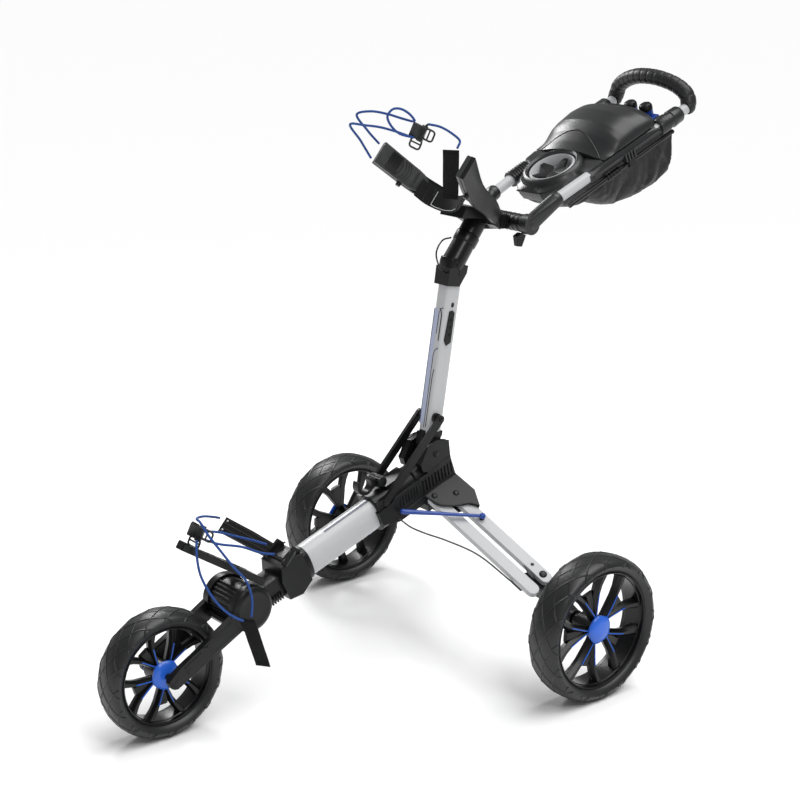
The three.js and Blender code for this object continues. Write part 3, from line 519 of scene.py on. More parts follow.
def blade(stations, sections):
    """A spoke branch: stations are (r, angle), sections the half widths and x places from front to back."""
    rings = []
    line = [polar(0, r, a) for r, a in stations]
    for i, p in enumerate(line):
        side = X.cross(heading(line, i)).normalized()
        front, back, w0, w1 = sections[i]
        ring = [(-w0, front), (w0, front), (w1, front - 7), (w1 * 0.8, back), (-w1 * 0.8, back),
                (-w1, front - 7)]
        rings.append([Vector((x, 0, 0)) + p + side * w for w, x in ring])
    return loft(rings)


def wheel(tag, body, centre, R, width, side, stands, spin=0.0):
    h = width / 2
    seat = R - 27
    k = seat / 108.0
    half = [(seat + r, h - x) for r, x in ((0, 13), (2, 9.5), (7, 4.5))]
    half += [(R - r, h - x) for r, x in ((14, 2), (9, 4), (4.8, 9), (2, 17), (0.6, 26))]
    tyre_sec = [(r, -x) for r, x in half] + [(R - 0.4, 0)] + half[::-1]
    rubber = [ring_loft(tyre_sec, 120), *tread(R, h, 16, 0.95)]
    lip = [(seat + r, h - x) for r, x in ((-0.3, 14), (1.2, 10.5), (-0.4, 8.8), (-2.6, 9.8), (-3.4, 12.5),
            (-3.6, 17), (-5.2, 18.5), (-5.6, 28))]
    rim = [ring_loft([(r, -x) for r, x in lip] + lip[::-1], 96)]
    star = []
    for j in range(5):
        mid = radians(56 + 72 * j) + spin
        for lean in (-1, 1):
            stations = [(r * k, mid + lean * a) for r, a in ((14, 0), (28, 0.09), (66, 0.25), (84, 0.315),
                    (104, 0.384))]
            sections = [(h - front, h - back, w0, w1 * k)
                    for front, back, w0, w1 in ((22, 38, 3, 6.5), (22, 38, 2, 6.5), (21, 37, 2.2, 7.5),
                    (20, 36, 3, 8.0), (17, 36, 4, 9.5))]
            rim.append(blade(stations, sections))
            line = [polar(h - x, r * k, mid + lean * a)
                    for x, r, a in ((21.2, 24, 0.05), (20.8, 46, 0.19), (20.2, 70, 0.262))]
            star.append(local_sweep(line, 1.0, 6))
        web = [(r * k, mid) for r in (14, 44, 72)]
        rim.append(blade(web, [(h - 25, h - 37, 3, 4 * k), (h - 26, h - 37, 5, 8 * k),
                (h - 28, h - 37, 7, 13 * k)]))
    hub = [(-h + 8, 18), (-h + 9, 20), (h - 22, 20), (h - 21, 19)]
    rim.append(loft([[polar(x, r, tau * i / 32) for i in range(32)] for x, r in hub]))
    lobes = [(tau * i / 40 + radians(56) + spin, 26.0 + 0.9 * cos(tau * i / 8)) for i in range(40)]
    dome = ((21.4, 0.99), (18.0, 1.0), (15.6, 0.93), (13.4, 0.78), (11.8, 0.58), (10.9, 0.36), (10.5, 0.14))
    star.append(loft([[polar(h - x, r * f, a) for a, r in lobes] for x, f in dome]))
    if tag == "front":
        ring = [(17, -h + 3), (17, -h + 9), (13, -h + 9), (13, -h + 3)]
        star.append(ring_loft(ring, 40))
    groups = (("tyre", rubber, RUBBER, "tyre_rubber"), ("rim", rim, RIM, "rim_black"),
            ("star", star, BLUE, M_BLUE))
    for (kind, parts, mat, slot_name), node in zip(groups, stands):
        placed = []
        for verts, faces in parts:
            moved = [metres(flipped(v, side) + Vector(centre)) for v in verts]
            placed.append((moved, faces))
        piece(f"{kind}_{tag}_shown", placed, mat, body, 0.5 if kind == "rim" else 0, (node,), 40)


def make_wheels():
    for tag, side in SIDES:
        stands = [f"tyre_rear_{tag}", f"rim_rear_{tag}", f"hub_cap_rear_{tag}"]
        wheel("rear_" + tag, "wheel_" + tag, (side * 365.5, 0, REAR_R), REAR_R, 72, side, stands)
    wheel("front", "front_wheel", (0, *FRONT_AXLE), FRONT_R, 66, 1,
            ["tyre_front", "rim_front", "hub_cap_front"], -0.35)


# ---------- front tube, hub, legs ----------
def across_tube(outline, s0, s1, inset=0.0):
    def ring(s, k):
        return [TUBE(s, y * k, x * k) for x, y in outline]
    if not inset:
        return loft([ring(s0, 1), ring(s1, 1)])
    return loft([ring(s0, 0.96), ring(s0 + inset, 1), ring(s1 - inset, 1), ring(s1, 0.96)])


def side_plate(outline, x0, x1):
    return prism(outline, x0, x1, TUBE)


def stripe_on_tube(a0, a1, s0, s1):
    """A thin painted line on the tube's skin between two angles."""
    def point(a, s, grow):
        c, k = cos(a), sin(a)
        x = (24 + grow) * copysign(abs(c) ** (2 / 2.3), c)
        y = (31 + grow) * copysign(abs(k) ** (2 / 2.3), k)
        return TUBE(s, y, x)
    rings = [[point(a, s, g) for a, g in ((a0, 0.2), (a1, 0.2), (a1, -0.6), (a0, -0.6))] for s in (s0, s1)]
    return loft(rings)


def make_front():
    piece("front_tube_shown", [across_tube(oval(24, 31), -18, 345)], WHITE, "chassis", 0,
            ("front_tube",))
    lines = [(1.30, 1.34), (1.70, 1.74)]
    piece("tube_lines_black", [stripe_on_tube(a, b, 60, 200) for a, b in lines], STRIPE_AND_SHADE_BLACK, "chassis",
            0)
    piece("tube_lines_blue", [stripe_on_tube(1.38, 1.47, 60, 200)], NAVY, "chassis", 0)
    make_hub_rear()
    make_slider()
    make_catch()


def ribs(s0, s1, count, v0, v1, x0, x1, lean=0.0):
    out = []
    for i in range(count):
        s = s0 + (s1 - s0) * i / (count - 1)
        for k in (1, -1):
            out.append(prism([(s - 1.5, v0), (s + 1.5, v0), (s + 1.5 + lean, v1), (s - 1.5 + lean, v1)],
                    min(k * x0, k * x1), max(k * x0, k * x1), TUBE))
    return out


def ridge(points, x, r=1.2):
    """A thin rounded edge line on both cheeks."""
    out = []
    for k in (1, -1):
        line = spline([TUBE.mm(s, v, k * x) for s, v in points], 5)
        out.append(sweep(line, r, 8))
    return out


PLATE = [(-50, 31), (-50, -50), (-10, -48), (2, -40), (22, -17), (33, 4), (49, 15), (17, 33)]


def leg_plates(side):
    L = leg_axes(side)
    parts = [prism(PLATE, 7, 11, L), prism(PLATE, -11, -7, L)]
    lip = [(-30, -50), (2, -41), (22, -18), (33, 3), (49, 14)]
    for n in (11, -11):
        parts.append(sweep(spline([L.mm(d, b, n) for d, b in lip], 4), 1.6, 8))
    parts.append(prism([(33, 3), (49, 14), (17, 33), (8, 33), (28, 12)], -10, 10, L))
    return parts


def make_hub_rear():
    parts = [across_tube(oval(31, 37, power=2.6), 267, 352, 2)]
    outline = [(283, 30), (352, -14), (352, 23), (359, 55), (335, 69), (311, 69), (290, 50), (283, 45)]
    parts += [side_plate(outline, 18, 33), side_plate(outline, -33, -18)]
    parts.append(side_plate([(267, -30), (350, -30), (352, 22), (267, 22)], -32.5, 32.5))
    parts.append(box(274, 348, -56, -28, -27, 27, TUBE))
    for tag, side in SIDES:
        parts += leg_plates(side)
    parts += ribs(274, 346, 10, -9, 13, 32, 35.2, 3)
    parts += ridge([(267, 20), (300, 22), (352, 24)], 33.4)
    parts += ridge([(267, -16), (310, -17), (352, -15)], 33.4)
    parts += ridge([(283, 46), (290, 51), (311, 69), (335, 69), (359, 55)], 32.6)
    piece("hub_rear_shown", parts, BLACK, "chassis", 0.8, ("hub_rear",))
    bolts = []
    for k in (1, -1):
        bolts += bolt((k * 33, *FOLD_BOLT), (k, 0, 0), 6.5)
    for tag, side in SIDES:
        L = leg_axes(side)
        n = L.mm(0, 0, 1) - L.mm(0, 0, 0)
        bolts += bolt(L.mm(0, 0, 11), n, 6)
        bolts += bolt(L.mm(LINK_D, LINK_B, 11), n, 6)
    bolts.append(rod((-33, *FOLD_BOLT), (33, *FOLD_BOLT), 5))
    piece("hub_bolts", bolts, BLACK, "chassis", 0.3, ("fold_bolt",))


def make_slider():
    parts = [across_tube(oval(30, 36, power=2.6), 168, 266.4, 2)]
    outline = [(164, 12), (166, -16), (203, -31), (266.4, -31), (266.4, 22), (209, 22), (198, 14)]
    parts += [side_plate(outline, 22, 33), side_plate(outline, -33, -22)]
    parts.append(box(206, 262, 30, 41, -17, 17, TUBE))
    parts += ribs(216, 258, 7, -6, 12, 32, 34.8, 3)
    parts += ridge([(206, 19), (240, 20), (266, 20)], 33.3)
    parts += ridge([(206, -18), (240, -16), (266, -16)], 33.3)
    parts.append(box(170, 205, 20, 30, 15, 32, TUBE))
    parts.append(box(170, 205, 20, 30, -32, -15, TUBE))
    piece("slider_shown", parts, BLACK, "slider", 0.9, ("slider",))
    low = TUBE.mm(188, 22, 0)
    for tag, side in SIDES:
        bar = xprism(slot(low.y, low.z, *STRUT_TOP, 7.5), side * 26, side * 33)
        ends = [*bolt((side * 33, low.y, low.z), (side, 0, 0), 4.5, 1.6, 1.8),
                *bolt((side * 33, *STRUT_TOP), (side, 0, 0), 5.5, 3.0, 2.2)]
        piece(f"strut_{tag}_shown", [bar, *ends], BLACK, f"strut_{tag}", 1.0,
                (f"strut_{tag}",))


def make_catch():
    c, p = TUBE.mm(172, 62, 0), TUBE.mm(204, 53, 0)
    turns = [2.6 + 4.4 * i / 24 for i in range(25)]
    outer, inner = ([(c.y + r * cos(t), c.z + r * sin(t)) for t in turns] for r in (19, 12.5))
    parts = [xprism(outer + inner[::-1], -8, 8)]
    grips = [(p.y + (10.4 if i % 2 else 9) * cos(pi * i / 14),
            p.z + (10.4 if i % 2 else 9) * sin(pi * i / 14)) for i in range(28)]
    parts.append(xprism(grips, -16.5, 16.5))
    parts.append(xprism([(p.y - 3, p.z + 6), (p.y - 3, p.z - 6), (c.y + 13, c.z - 8), (c.y + 13, c.z + 8)],
            -7, 7))
    piece("catch_shown", parts, BLACK, "catch", 0.8, ("catch_hook",))


def make_legs():
    for tag, side in SIDES:
        L = leg_axes(side)
        n = L.mm(0, 0, 1) - L.mm(0, 0, 0)
        for name, d, b, body in (("leg_bar", 0, 0, "leg_"), ("leg_link", LINK_D, LINK_B, "link_")):
            reach = LEG_LEN + (7 if name == "leg_bar" else 30)
            bar = prism(slot(d, b, d + reach, b, 11.8), -6.4, 6.4, L)
            piece(f"{name}_{tag}_shown", [bar], WHITE, body + tag, 1.6, (f"{name}_{tag}",),
                    segments=3)
        screw = bolt(L.mm(201, 0, 6.4), n, 3.4, 0.8, 1.4)
        piece(f"leg_screw_{tag}", screw, BLACK, "leg_" + tag, 0)
        make_bracket(tag, side, L, n)
        end, start = L.mm(70, 0, 14), Vector((side * 40.5, -172, 301))
        line = spline([start, start.lerp(end, 0.5), end], 8)
        parts = [sweep(line, lambda f: 5.0 - 1.8 * min(1, f * 1.6), 20), ball(end, 6.2), ball(start, 5.2)]
        piece(f"push_rod_{tag}_shown", parts, ROD_BLUE, f"rod_{tag}", 0, (f"push_rod_{tag}",))
        piece(f"rod_stud_{tag}", bolt(L.mm(70, 0, 6.4), n, 5, 1.0, 1), BLACK, "leg_" + tag, 0)


def make_bracket(tag, side, L, n):
    d0 = LEG_LEN
    plate = prism([(d0 - 12, 12), (d0 - 34, -26), (d0 - 34, -48), (d0 - 8, -48), (d0 + 16, -10),
            (d0 + 16, 12)], -12, -7, L)
    c = [L(*p) for p in ((d0 - 28, -44, -8), (d0 - 10, -44, -8), (d0 + 14, -8, -8), (d0 + 14, 10, -8),
            (d0 - 10, 10, -8), (d0 - 28, -44, -14), (d0 - 10, 10, -16))]
    foot = [metres((side * x, y, 145)) for x in (296, 322) for y in (-13, 13)]
    parts = [plate, hull(c + foot), rod((side * 288.6, 0, 135), (side * 324, 0, 135), 17),
            rod((side * 324, 0, 135), (side * 332, 0, 135), 13),
            rod((side * 300, 0, 135), (side * 375, 0, 135), 6)]
    parts += bolt(L.mm(d0, 0, 6.6), n, 7.5, 3.2, 3)
    parts.append(prism([(d0 - 36, -14), (d0 - 20, -14), (d0 - 2, -22), (d0 - 18, -22)], 6.8, 9.2, L))
    piece(f"bracket_{tag}_shown", parts, BLACK, f"carrier_{tag}", 0.8, (f"bracket_{tag}",))
    lobes = []
    for i, (c, s) in enumerate(circle(48)):
        r = 14.0 * (0.87 + 0.13 * cos(4 * tau * i / 48))
        lobes.append((r * c, REAR_R + r * s))
    knob = [xprism(lobes, side * 275, side * 288), rod((side * 274.2, 0, 135), (side * 280, 0, 135), 6)]
    piece(f"release_{tag}_shown", knob, BLUE, f"release_{tag}", 1.2, (f"release_{tag}",))


# ---------- lower bracket and fork ----------
LOWER_UP = unit(0, 0.67, 0.74)
LOWER_ARM = [(20, -418, 262, 14), (60, -447, 286, 15), (100, -476, 308, 15)]


def lower_arm(side):
    rings = []
    for x, y, z, half in LOWER_ARM:
        c = Vector((x * side, y, z))
        out = Vector((0.55 * side, 0.6, -0.55))
        rings.append([metres(c + LOWER_UP * k + out * t)
                for k, t in ((-half, 0), (half, 0), (half, 8), (-half, 8))])
    parts = [loft(rings)]
    ends = [(22, -420, 263), (100, -476, 308)]
    for k in (-13, -5, 4, 12):
        line = [Vector((x * side, y, z)) + LOWER_UP * k for x, y, z in ends]
        parts.append(sweep(line, 1.1, 8))
    tip = Vector((96 * side, -473, 306))
    inward = Vector((-0.5 * side, -0.55, 0.55)).normalized()
    return parts, [bolt(tip + LOWER_UP * k, inward, 2.4, 0.9, 0.8) for k in (-9, 9)]


def make_lower():
    outline = [(-9, 37), (-7, -22), (-34, -36), (-62, -30), (-66, 10), (-58, 36), (-30, 42)]
    parts = [side_plate(outline, -31, 31)]
    parts.append(side_plate([(-60, 20), (-60, -22), (-104, -14), (-122, 2), (-120, 20)], -22, 22))
    parts.append(rod((-30.5, *FORK_JOINT), (30.5, *FORK_JOINT), 36.5, n=64))
    for i in range(7):
        s = -72 - 5.6 * i
        parts.append(box(s - 1.4, s + 1.4, -22, -8, -27, 27, TUBE))
    for i in range(12):
        a = 2.0 + 0.2 * i
        y, z = -514 + 37.6 * cos(a), 202 + 37.6 * sin(a)
        parts.append(rod((-29, y, z), (29, y, z), 1.6, n=8))
    saddle = [TUBE(-6, 30, -24), TUBE(-6, 30, 24), TUBE(-60, 20, -24), TUBE(-60, 20, 24)]
    saddle += WORLD.each(((-26, -430, 262), (26, -430, 262), (-26, -404, 268), (26, -404, 268)))
    piece("lower_saddle", [hull(saddle)], MATT, "chassis", 1.0)
    parts.append(across_tube(oval(26, 33, power=2.6), -32, 6, 2))
    for k in (1, -1):
        cheek = [(-408, 286), (-432, 266), (-436, 252), (-398, 258), (-396, 276)]
        parts.append(xprism(cheek, k * 21, k * 27))
        parts += bolt((k * 27, -414, 268), (k, 0, 0), 4.5, 2, 2)
    rivets = []
    for side in (1, -1):
        arm, studs = lower_arm(side)
        parts += arm
        for pair in studs:
            rivets += list(pair)
    parts += ridge([(-2, 36), (-30, 41), (-58, 35)], 31.2, 1.6)
    piece("lower_cradle_shown", parts, BLACK, "chassis", 1.0, ("lower_cradle",))
    piece("cradle_rivets", rivets, STEEL, "chassis", 0)
    lengthwise = unit(0, -0.84, 0.543)
    BASE = Axes((0, -470, 234.7), -X, lengthwise, (-X).cross(lengthwise))
    rim_line = [(34, 8), (27, 90), (10, 184)]
    base = []
    for k in (1, -1):
        outer = [(k * x, s) for x, s in rim_line]
        inner = [(k * (x - 8), s) for x, s in rim_line]
        base.append(prism(outer + inner[::-1], -8, 5, BASE))
    for s0, s1, w in ((8, 30, 32), (86, 99, 26), (168, 184, 11)):
        base.append(box(-w, w, s0, s1, -7, 4.6, BASE))
    base.append(box(-9, 9, 172, 185, -8, 7, BASE))
    base.append(box(-1.6, 1.6, 20, 180, -3.5, 3.5, BASE))
    piece("base_rest_shown", base, BLACK, "chassis", 0.8, ("base_rest",))
    make_fork()


def make_fork():
    (dy, dz), (y, z) = FORK_JOINT, FRONT_AXLE
    parts, bolts, hole_shades = [], [], []
    for side in (1, -1):
        parts.append(xprism(disc(dy, dz, 41, 64), side * 31.2, side * 45))
        parts.append(turn((side * 45, dy, dz), (side * 60, dy, dz),
                [(0, 41.5), (3, 40.5), (7, 35), (7.6, 30), (7.0, 28.5), (8.0, 14)], 64))
        arm = [metres((side * x, a, b)) for x in (38, 50)
                for a, b in disc(dy, dz, 19, 28) + disc(y, z, 14, 24)]
        parts.append(hull(arm))
        ahead = Vector((0, y - dy, z - dz)).normalized()
        below = Vector((0, ahead.z, -ahead.y))
        def at(x, t, v):
            return metres(Vector((side * x, y, z)) - ahead * t + below * v)
        parts.append(hull([at(x, t, v) for x in (40, 52.5)
                for t, v in ((-10, 12), (16, 17), (66, 17), (78, 10), (78, -12), (-6, -12))]))
        parts.append(hull([at(x, t, v) for x in (40, 53.6)
                for t, v in ((24, 12), (64, 12), (64, -6), (24, -6))]))
        # thin dark patches on the arm's face: painted shade standing for the holes
        hole_shades.append(hull([at(x, t, v) for x in (53, 54.2)
                for t, v in ((26, 4), (32, 4), (32, -2), (26, -2))]))
        for k in (-1, 1):
            a = Vector((side * 50, dy, dz)) + ahead * 44 - below * 13 * k
            b = Vector((side * 50, y, z)) - ahead * 78 - below * 11.5 * k
            parts.append(sweep([a, b], 1.8, 8))
        bolts += bolt((side * 50, y, z), (side, 0, 0), 9, 3, 3.5)
    parts.append(rod((-40, dy, dz), (40, dy, dz), 8))
    parts.append(rod((-50, y, z), (50, y, z), 6))
    bridge = [metres((s * 40, dy + a, dz + b)) for s in (1, -1)
            for a, b in ((-34, -34), (-44, -22), (-30, -28), (-38, -18))]
    parts.append(hull(bridge))
    piece("fork_shown", parts, BLACK, "fork", 1.2, ("fork",))
    piece("fork_bolts", bolts, BLACK, "fork", 0.3)
    piece("fork_hole_shades", hole_shades, STRIPE_AND_SHADE_BLACK, "fork", 0)


# ---------- mast ----------
def ribbon(points, width):
    """A painted line on the front face of the upper tube, through points of (x, height)."""
    left, right = [], []
    for i, (x, u) in enumerate(points):
        a, b = points[max(i - 1, 0)], points[min(i + 1, len(points) - 1)]
        d = Vector((b[0] - a[0], b[1] - a[1])).normalized()
        left.append((x - d.y * width / 2, u + d.x * width / 2))
        right.append((x + d.y * width / 2, u - d.x * width / 2))
    rings = []
    for (x0, u0), (x1, u1) in zip(left, right):
        rings.append([POST(x0, -17.72, u0), POST(x1, -17.72, u1), POST(x1, -17.2, u1), POST(x0, -17.2, u0)])
    return loft(rings)


def button(x0, x1, y, u, ry, ru, n):
    """An oval disc on the side of the upper tube."""
    return loft([[POST(x, y + ry * c, u + ru * s) for c, s in circle(n)] for x in (x0, x1)])


def make_mast():
    def ring(u, hx, hy, power=5, n=64):
        return [POST(x, y, u) for x, y in oval(hx, hy, n, power)]
    piece("upper_tube_shown", [loft([ring(0, 14.5, 17.5), ring(POST_LEN, 14.5, 17.5)])], WHITE, "mast",
            0, ("upper_tube",))
    piece("mast_band", [ribbon([(-6.2, 18), (-6.2, 236)], 9)], PALE_BLUE, "mast", 0)
    navy = [ribbon([(-12.2, 18), (-12.2, 236)], 1.6), ribbon([(0.6, 12), (0.6, 150), (2.5, 158), (8, 163),
            (11, 164)], 1.8), ribbon([(1.2, 190), (1.2, 228), (4, 236), (11, 240)], 1.8)]
    piece("mast_lines_navy", navy, NAVY, "mast", 0)
    black = [ribbon([(5.6, 14), (5.6, 108), (7.6, 124)], 1.8),
            ribbon([(8.6, 178), (8.6, 226), (6, 234), (1.5, 238)], 2.2)]
    piece("mast_lines_black", black, STRIPE_AND_SHADE_BLACK, "mast", 0)
    foot = [POST(x, y, 0) for x in (-15.4, 15.4) for y in (-18.4, 18.4)]
    foot += spread((-15.4, 15.4), ((-18.4, 2), (18.4, 8)), POST)
    foot += spread((-16.5, 16.5), disc(*FOLD_BOLT, 9.3, 24))
    gusset = spread((-8, 8), ((-17, 8), (-17, -20), (-23, -6), (-24, -20), (-12, -26)), POST)
    parts = [hull(foot), hull(gusset), rod((-25.6, *STRUT_TOP), (25.6, *STRUT_TOP), 6.5)]
    parts += [rod((k * 15, *STRUT_TOP), (k * 22, *STRUT_TOP), 9) for k in (1, -1)]
    piece("foot_shown", parts, BLACK, "mast", 0.8, ("tube_foot",))
    plugs = []
    for k in (1, -1):
        outline = [(-9, 180), (-3, 170), (7, 176), (7, 232), (2, 236), (-5, 234)]
        plugs.append(loft([[POST(k * x, y, u) for y, u in outline] for x in (14.2, 17.2)]))
        plugs += [button(k * 17, k * 18.6, 2, u, 2.6, 3.4, 16) for u in (190, 204, 218)]
        plugs.append(button(k * 14.2, k * 15.4, 1, 246, 3.4, 5.0, 16))
    piece("side_plugs", plugs, BLACK, "mast", 0.7)
    low = [POST(x, y, POST_LEN + u) for x, y, u in ((-19, -22, -14), (19, -22, -14), (19, 8, -14),
            (-19, 8, -14), (19, 22, 12), (-19, 22, 12), (-19.5, -22, 20), (19.5, -22, 20), (19.5, 22.5, 26),
            (-19.5, 22.5, 26))]
    collar = [hull(low), loft([ring(POST_LEN + 18, 20, 22.5, 3.2), ring(POST_LEN + 30, 21, 23, 2.6),
            ring(POST_LEN + 38, 20, 22, 2.4)])]
    pole = turn((0, -25, 734), (0, 40, 818), [(0, 22), (30, 21.5), (60, 21), (106, 21)], 56)
    band = turn((0, 6, 774), (0, 40, 818), [(0, 22.6), (3, 23), (18, 23), (20, 22)], 56)
    piece("neck_shown", [*collar, pole, band], RIM, "mast", 0.8, ("neck",))
    window = button(19.0, 20.2, 8, POST_LEN + 12, 6, 9, 24)
    piece("neck_window", [window], STRIPE_AND_SHADE_BLACK, "mast", 0.4)
    loop = spline([(10, -44, 726), (16, -66, 742), (14, -72, 768), (8, -52, 788), (6, -30, 790)], 4)
    piece("cable_loop", [sweep(loop, 1.5, 12)], BLACK, "mast", 0)
    make_head()


BAG_UP = unit(0, 0.64, 0.77)
ARM = [(48, 40, 826, 13), (63, 10, 850, 17), (79, -36, 879, 20), (120, -97, 938, 22.5)]


def outward(d):
    """Square to a cradle arm's direction and to the bag, away from the middle."""
    out = d.cross(BAG_UP).normalized()
    if out.x < 0:
        out.negate()
    return out


def slab(stations, shift, thick, side, edge=10):
    """A curved plate through stations of (x, y, z, half width), rounded at its long edges."""
    knots = [Vector(s[:3]) for s in stations]
    dense = spline(knots, edge)
    halves = []
    for p in dense:
        best = min(range(len(knots) - 1), key=lambda i: (knots[i].lerp(knots[i + 1], 0.5) - p).length)
        a, b = knots[best], knots[best + 1]
        f = max(0.0, min(1.0, (p - a).dot(b - a) / (b - a).length_squared))
        halves.append(stations[best][3] * (1 - f) + stations[best + 1][3] * f)
    rings = []
    for i, p in enumerate(dense):
        out = outward(heading(dense, i))
        h = halves[i]
        sec = [(-h, 1), (-h + 2, 0), (h - 2, 0), (h, 1), (h, thick - 1), (h - 2, thick), (-h + 2, thick),
                (-h, thick - 1)]
        ring = [p + BAG_UP * k + out * (t - shift) for k, t in sec]
        rings.append([metres(flipped(v, side)) for v in ring])
    return loft(rings)


def make_head():
    parts = []
    tail = spread((-24, 24), ((80, 796), (80, 822), (108, 794), (108, 818)))
    tail += spread((-16, 16), ((34, 800), (50, 832)))
    parts.append(hull(tail))
    parts.append(rod((-55, *BARREL), (55, *BARREL), 16, n=48))
    wing = spread((-52, 52), ((34, 812), (40, 836), (50, 802)))
    wing += spread((-30, 30), ((72, 804), (72, 826)))
    parts.append(hull(wing))
    saddle = WORLD.each(((-30, -26, 828), (30, -26, 828), (-34, -16, 850), (34, -16, 850), (-40, 30, 824),
            (40, 30, 824), (-34, 34, 840), (34, 34, 840)))
    parts.append(hull(saddle))
    for i in range(9):
        x = -48 + 12 * i
        parts.append(turn((x - 1.5, *BARREL), (x + 1.5, *BARREL), [(0, 16.8), (3, 16.8)], 40))
    for side in (1, -1):
        parts.append(slab(ARM, 0, 8, side))
        knob = Vector((side * 94, -57, 899)) - BAG_UP * 17
        parts.append(rod(knob, knob - BAG_UP * 11, 5.5, 4.6))
        for k in (-1, 1):
            edge = [Vector((side * x, y, z)) + BAG_UP * k * (h - 1) for x, y, z, h in ARM]
            parts.append(sweep(spline(edge, 6), 1.3, 8))
    piece("head_shown", parts, BLACK, "mast", 1.0, ("cradle_head",))
    for tag, side in SIDES:
        make_pad(tag, side)
    band = [(-67, -47, 876), (-45, -39, 862), (0, -31, 852), (45, -39, 862), (67, -47, 876)]
    line = spline(band, 6)
    lift = Vector((0, 0.77, -0.64))
    rings = []
    for p in line:
        rings.append([metres(p + BAG_UP * k + lift * t)
                for k, t in ((-18, 0), (18, 0), (18, 1.8), (-18, 1.8))])
    sling = piece("sling_shown", [loft(rings)], STRAP, "mast", 0.3, ("sling_band",))
    seams = [sweep([line[i] + BAG_UP * -17 - lift * 0.4, line[i] + BAG_UP * 17 - lift * 0.4], 0.9, 6)
            for i in (3, 5, -6, -4)]
    piece("sling_seams", seams, SHELL, "mast", 0)
    plate = [line[6] + BAG_UP * 14, line[6] + BAG_UP * -14, *[p + BAG_UP * -15 for p in line[7:-7]],
            line[-7] + BAG_UP * -13]
    border = [sweep([a - lift * 0.5, b - lift * 0.5], 0.8, 6) for a, b in zip(plate, plate[1:])]
    piece("sling_border", border, LINER, "mast", 0)
    make_hooks()


PAD_LINE = [(70.5, -25.5, 872.5, 6), (73, -29, 875, 13), (78, -36, 880, 18), (84, -44, 886.5, 20.5),
        (100, -68, 909, 21.5), (120, -97, 938, 22)]


def pad_point(side, reach, k, lift):
    """A point on the pad's inner face: distance from its lower end, across, and proud of the face."""
    dense = spline([q[:3] for q in PAD_LINE], 2)
    i = max(1, min(len(dense) - 2, round(reach / 2)))
    d = (dense[i + 1] - dense[i - 1]).normalized()
    v = dense[i] + d * (reach - 2 * i) + BAG_UP * k + outward(d) * (-9 - lift)
    return flipped(v, side)


def make_pad(tag, side):
    body = [slab(PAD_LINE, 9, 8.5, side, edge=4)]
    piece(f"pad_{tag}_shown", body, PAD, "mast", 1.2, (f"cradle_pad_{tag}",))
    marks = []
    for reach in (36, 41, 46, 54):
        line = [pad_point(side, reach + 7 * (k / 18) ** 2, k, 0.1) for k in range(-18, 19, 3)]
        marks.append(sweep(line, 0.7, 6))
    panel = [[pad_point(side, a, k, t) for a, k in ((60, -17), (82, -17), (82, 17), (60, 17))]
            for t in (-1, 2.2)]
    marks.append(loft([[metres(q) for q in ring] for ring in panel]))
    piece(f"pad_lines_{tag}", marks, BLACK, "mast", 0.3)
    # dark strips on the pad's face: painted shade standing for the slots
    slit_shades = []
    for a0, a1, k0, k1, t in ((19, 24.5, -15, 15, 0.7), (66, 68.5, -12, 12, 2.6), (72, 74.5, -12, 12, 2.6)):
        slit_shades.append(loft([[metres(pad_point(side, a, k, u))
                for a, k in ((a0, k0), (a1, k0), (a1, k1), (a0, k1))] for u in (-0.5, t)]))
    piece(f"pad_slot_shade_{tag}", slit_shades, STRIPE_AND_SHADE_BLACK, "mast", 0)


def frame_loop(centre, ex, ey, hx, hy, r):
    """A rounded rectangle bent from a round bar."""
    corner = min(hx, hy) * 0.55
    line = []
    for cx, cy, a0 in ((hx - corner, hy - corner, 0), (-hx + corner, hy - corner, 90),
            (-hx + corner, -hy + corner, 180), (hx - corner, -hy + corner, 270)):
        for a in [radians(a0 + 22.5 * k) for k in range(5)]:
            line.append(centre + ex * (cx + corner * cos(a)) + ey * (cy + corner * sin(a)))
    n = ex.cross(ey).normalized()
    rings = []
    count = len(line)
    for i, p in enumerate(line):
        d = (line[(i + 1) % count] - line[i - 1]).normalized()
        b = d.cross(n).normalized()
        rings.append([metres(p + (n * c + b * s) * r) for c, s in circle(10)])
    return loft(rings, loop=True)


def make_hook(name, c, body, node):
    centre = Vector(c)
    side = unit(0.76, 0.52, -0.40)
    up = unit(0.40, 0.20, 0.88)
    up = (up - side * up.dot(side)).normalized()
    front = side.cross(up).normalized()
    def at(a, b, t):
        return metres(centre + side * a + up * b + front * t)
    parts = []
    for a0, a1, b0, b1, t in ((-15, -1, -12, 13, 5.5), (1, 12, -14, 15, 6.5)):
        parts.append(hull([at(a, b, k * (t - (0.0 if abs(b) < 12 else 1.5))) for a in (a0, a1)
                for b in (b0, b1) for k in (-1, 1)]))
    parts.append(hull([at(a, b, k * 3.5) for a in (-6, 8) for b in (-11, 12) for k in (-1, 1)]))
    parts.append(frame_loop(centre + side * 19 + up * 3, side, up, 9, 10, 1.9))
    parts.append(sweep([centre + side * 18 + up * -6, centre + side * 18 + up * 12], 1.6, 10))
    parts.append(frame_loop(centre + up * -21 + side * 2, side, up, 10, 9, 1.9))
    parts.append(sweep([centre + up * -20 + side * -7, centre + up * -20 + side * 11], 1.6, 10))
    for k in range(4):
        parts.append(hull([at(a, b, t) for a in (2.4 + 2.4 * k, 3.4 + 2.4 * k) for b in (-11, 12)
                for t in (5.8, 7.2)]))
    if body == "mast":  # a bar out to where the end cord starts
        parts.append(sweep([centre + side * 4 + up * 10, Vector(CORDS["cord_upper_end"][0])], 2.4, 10))
    piece(name, parts, SHELL, body, 0.6, (node,))


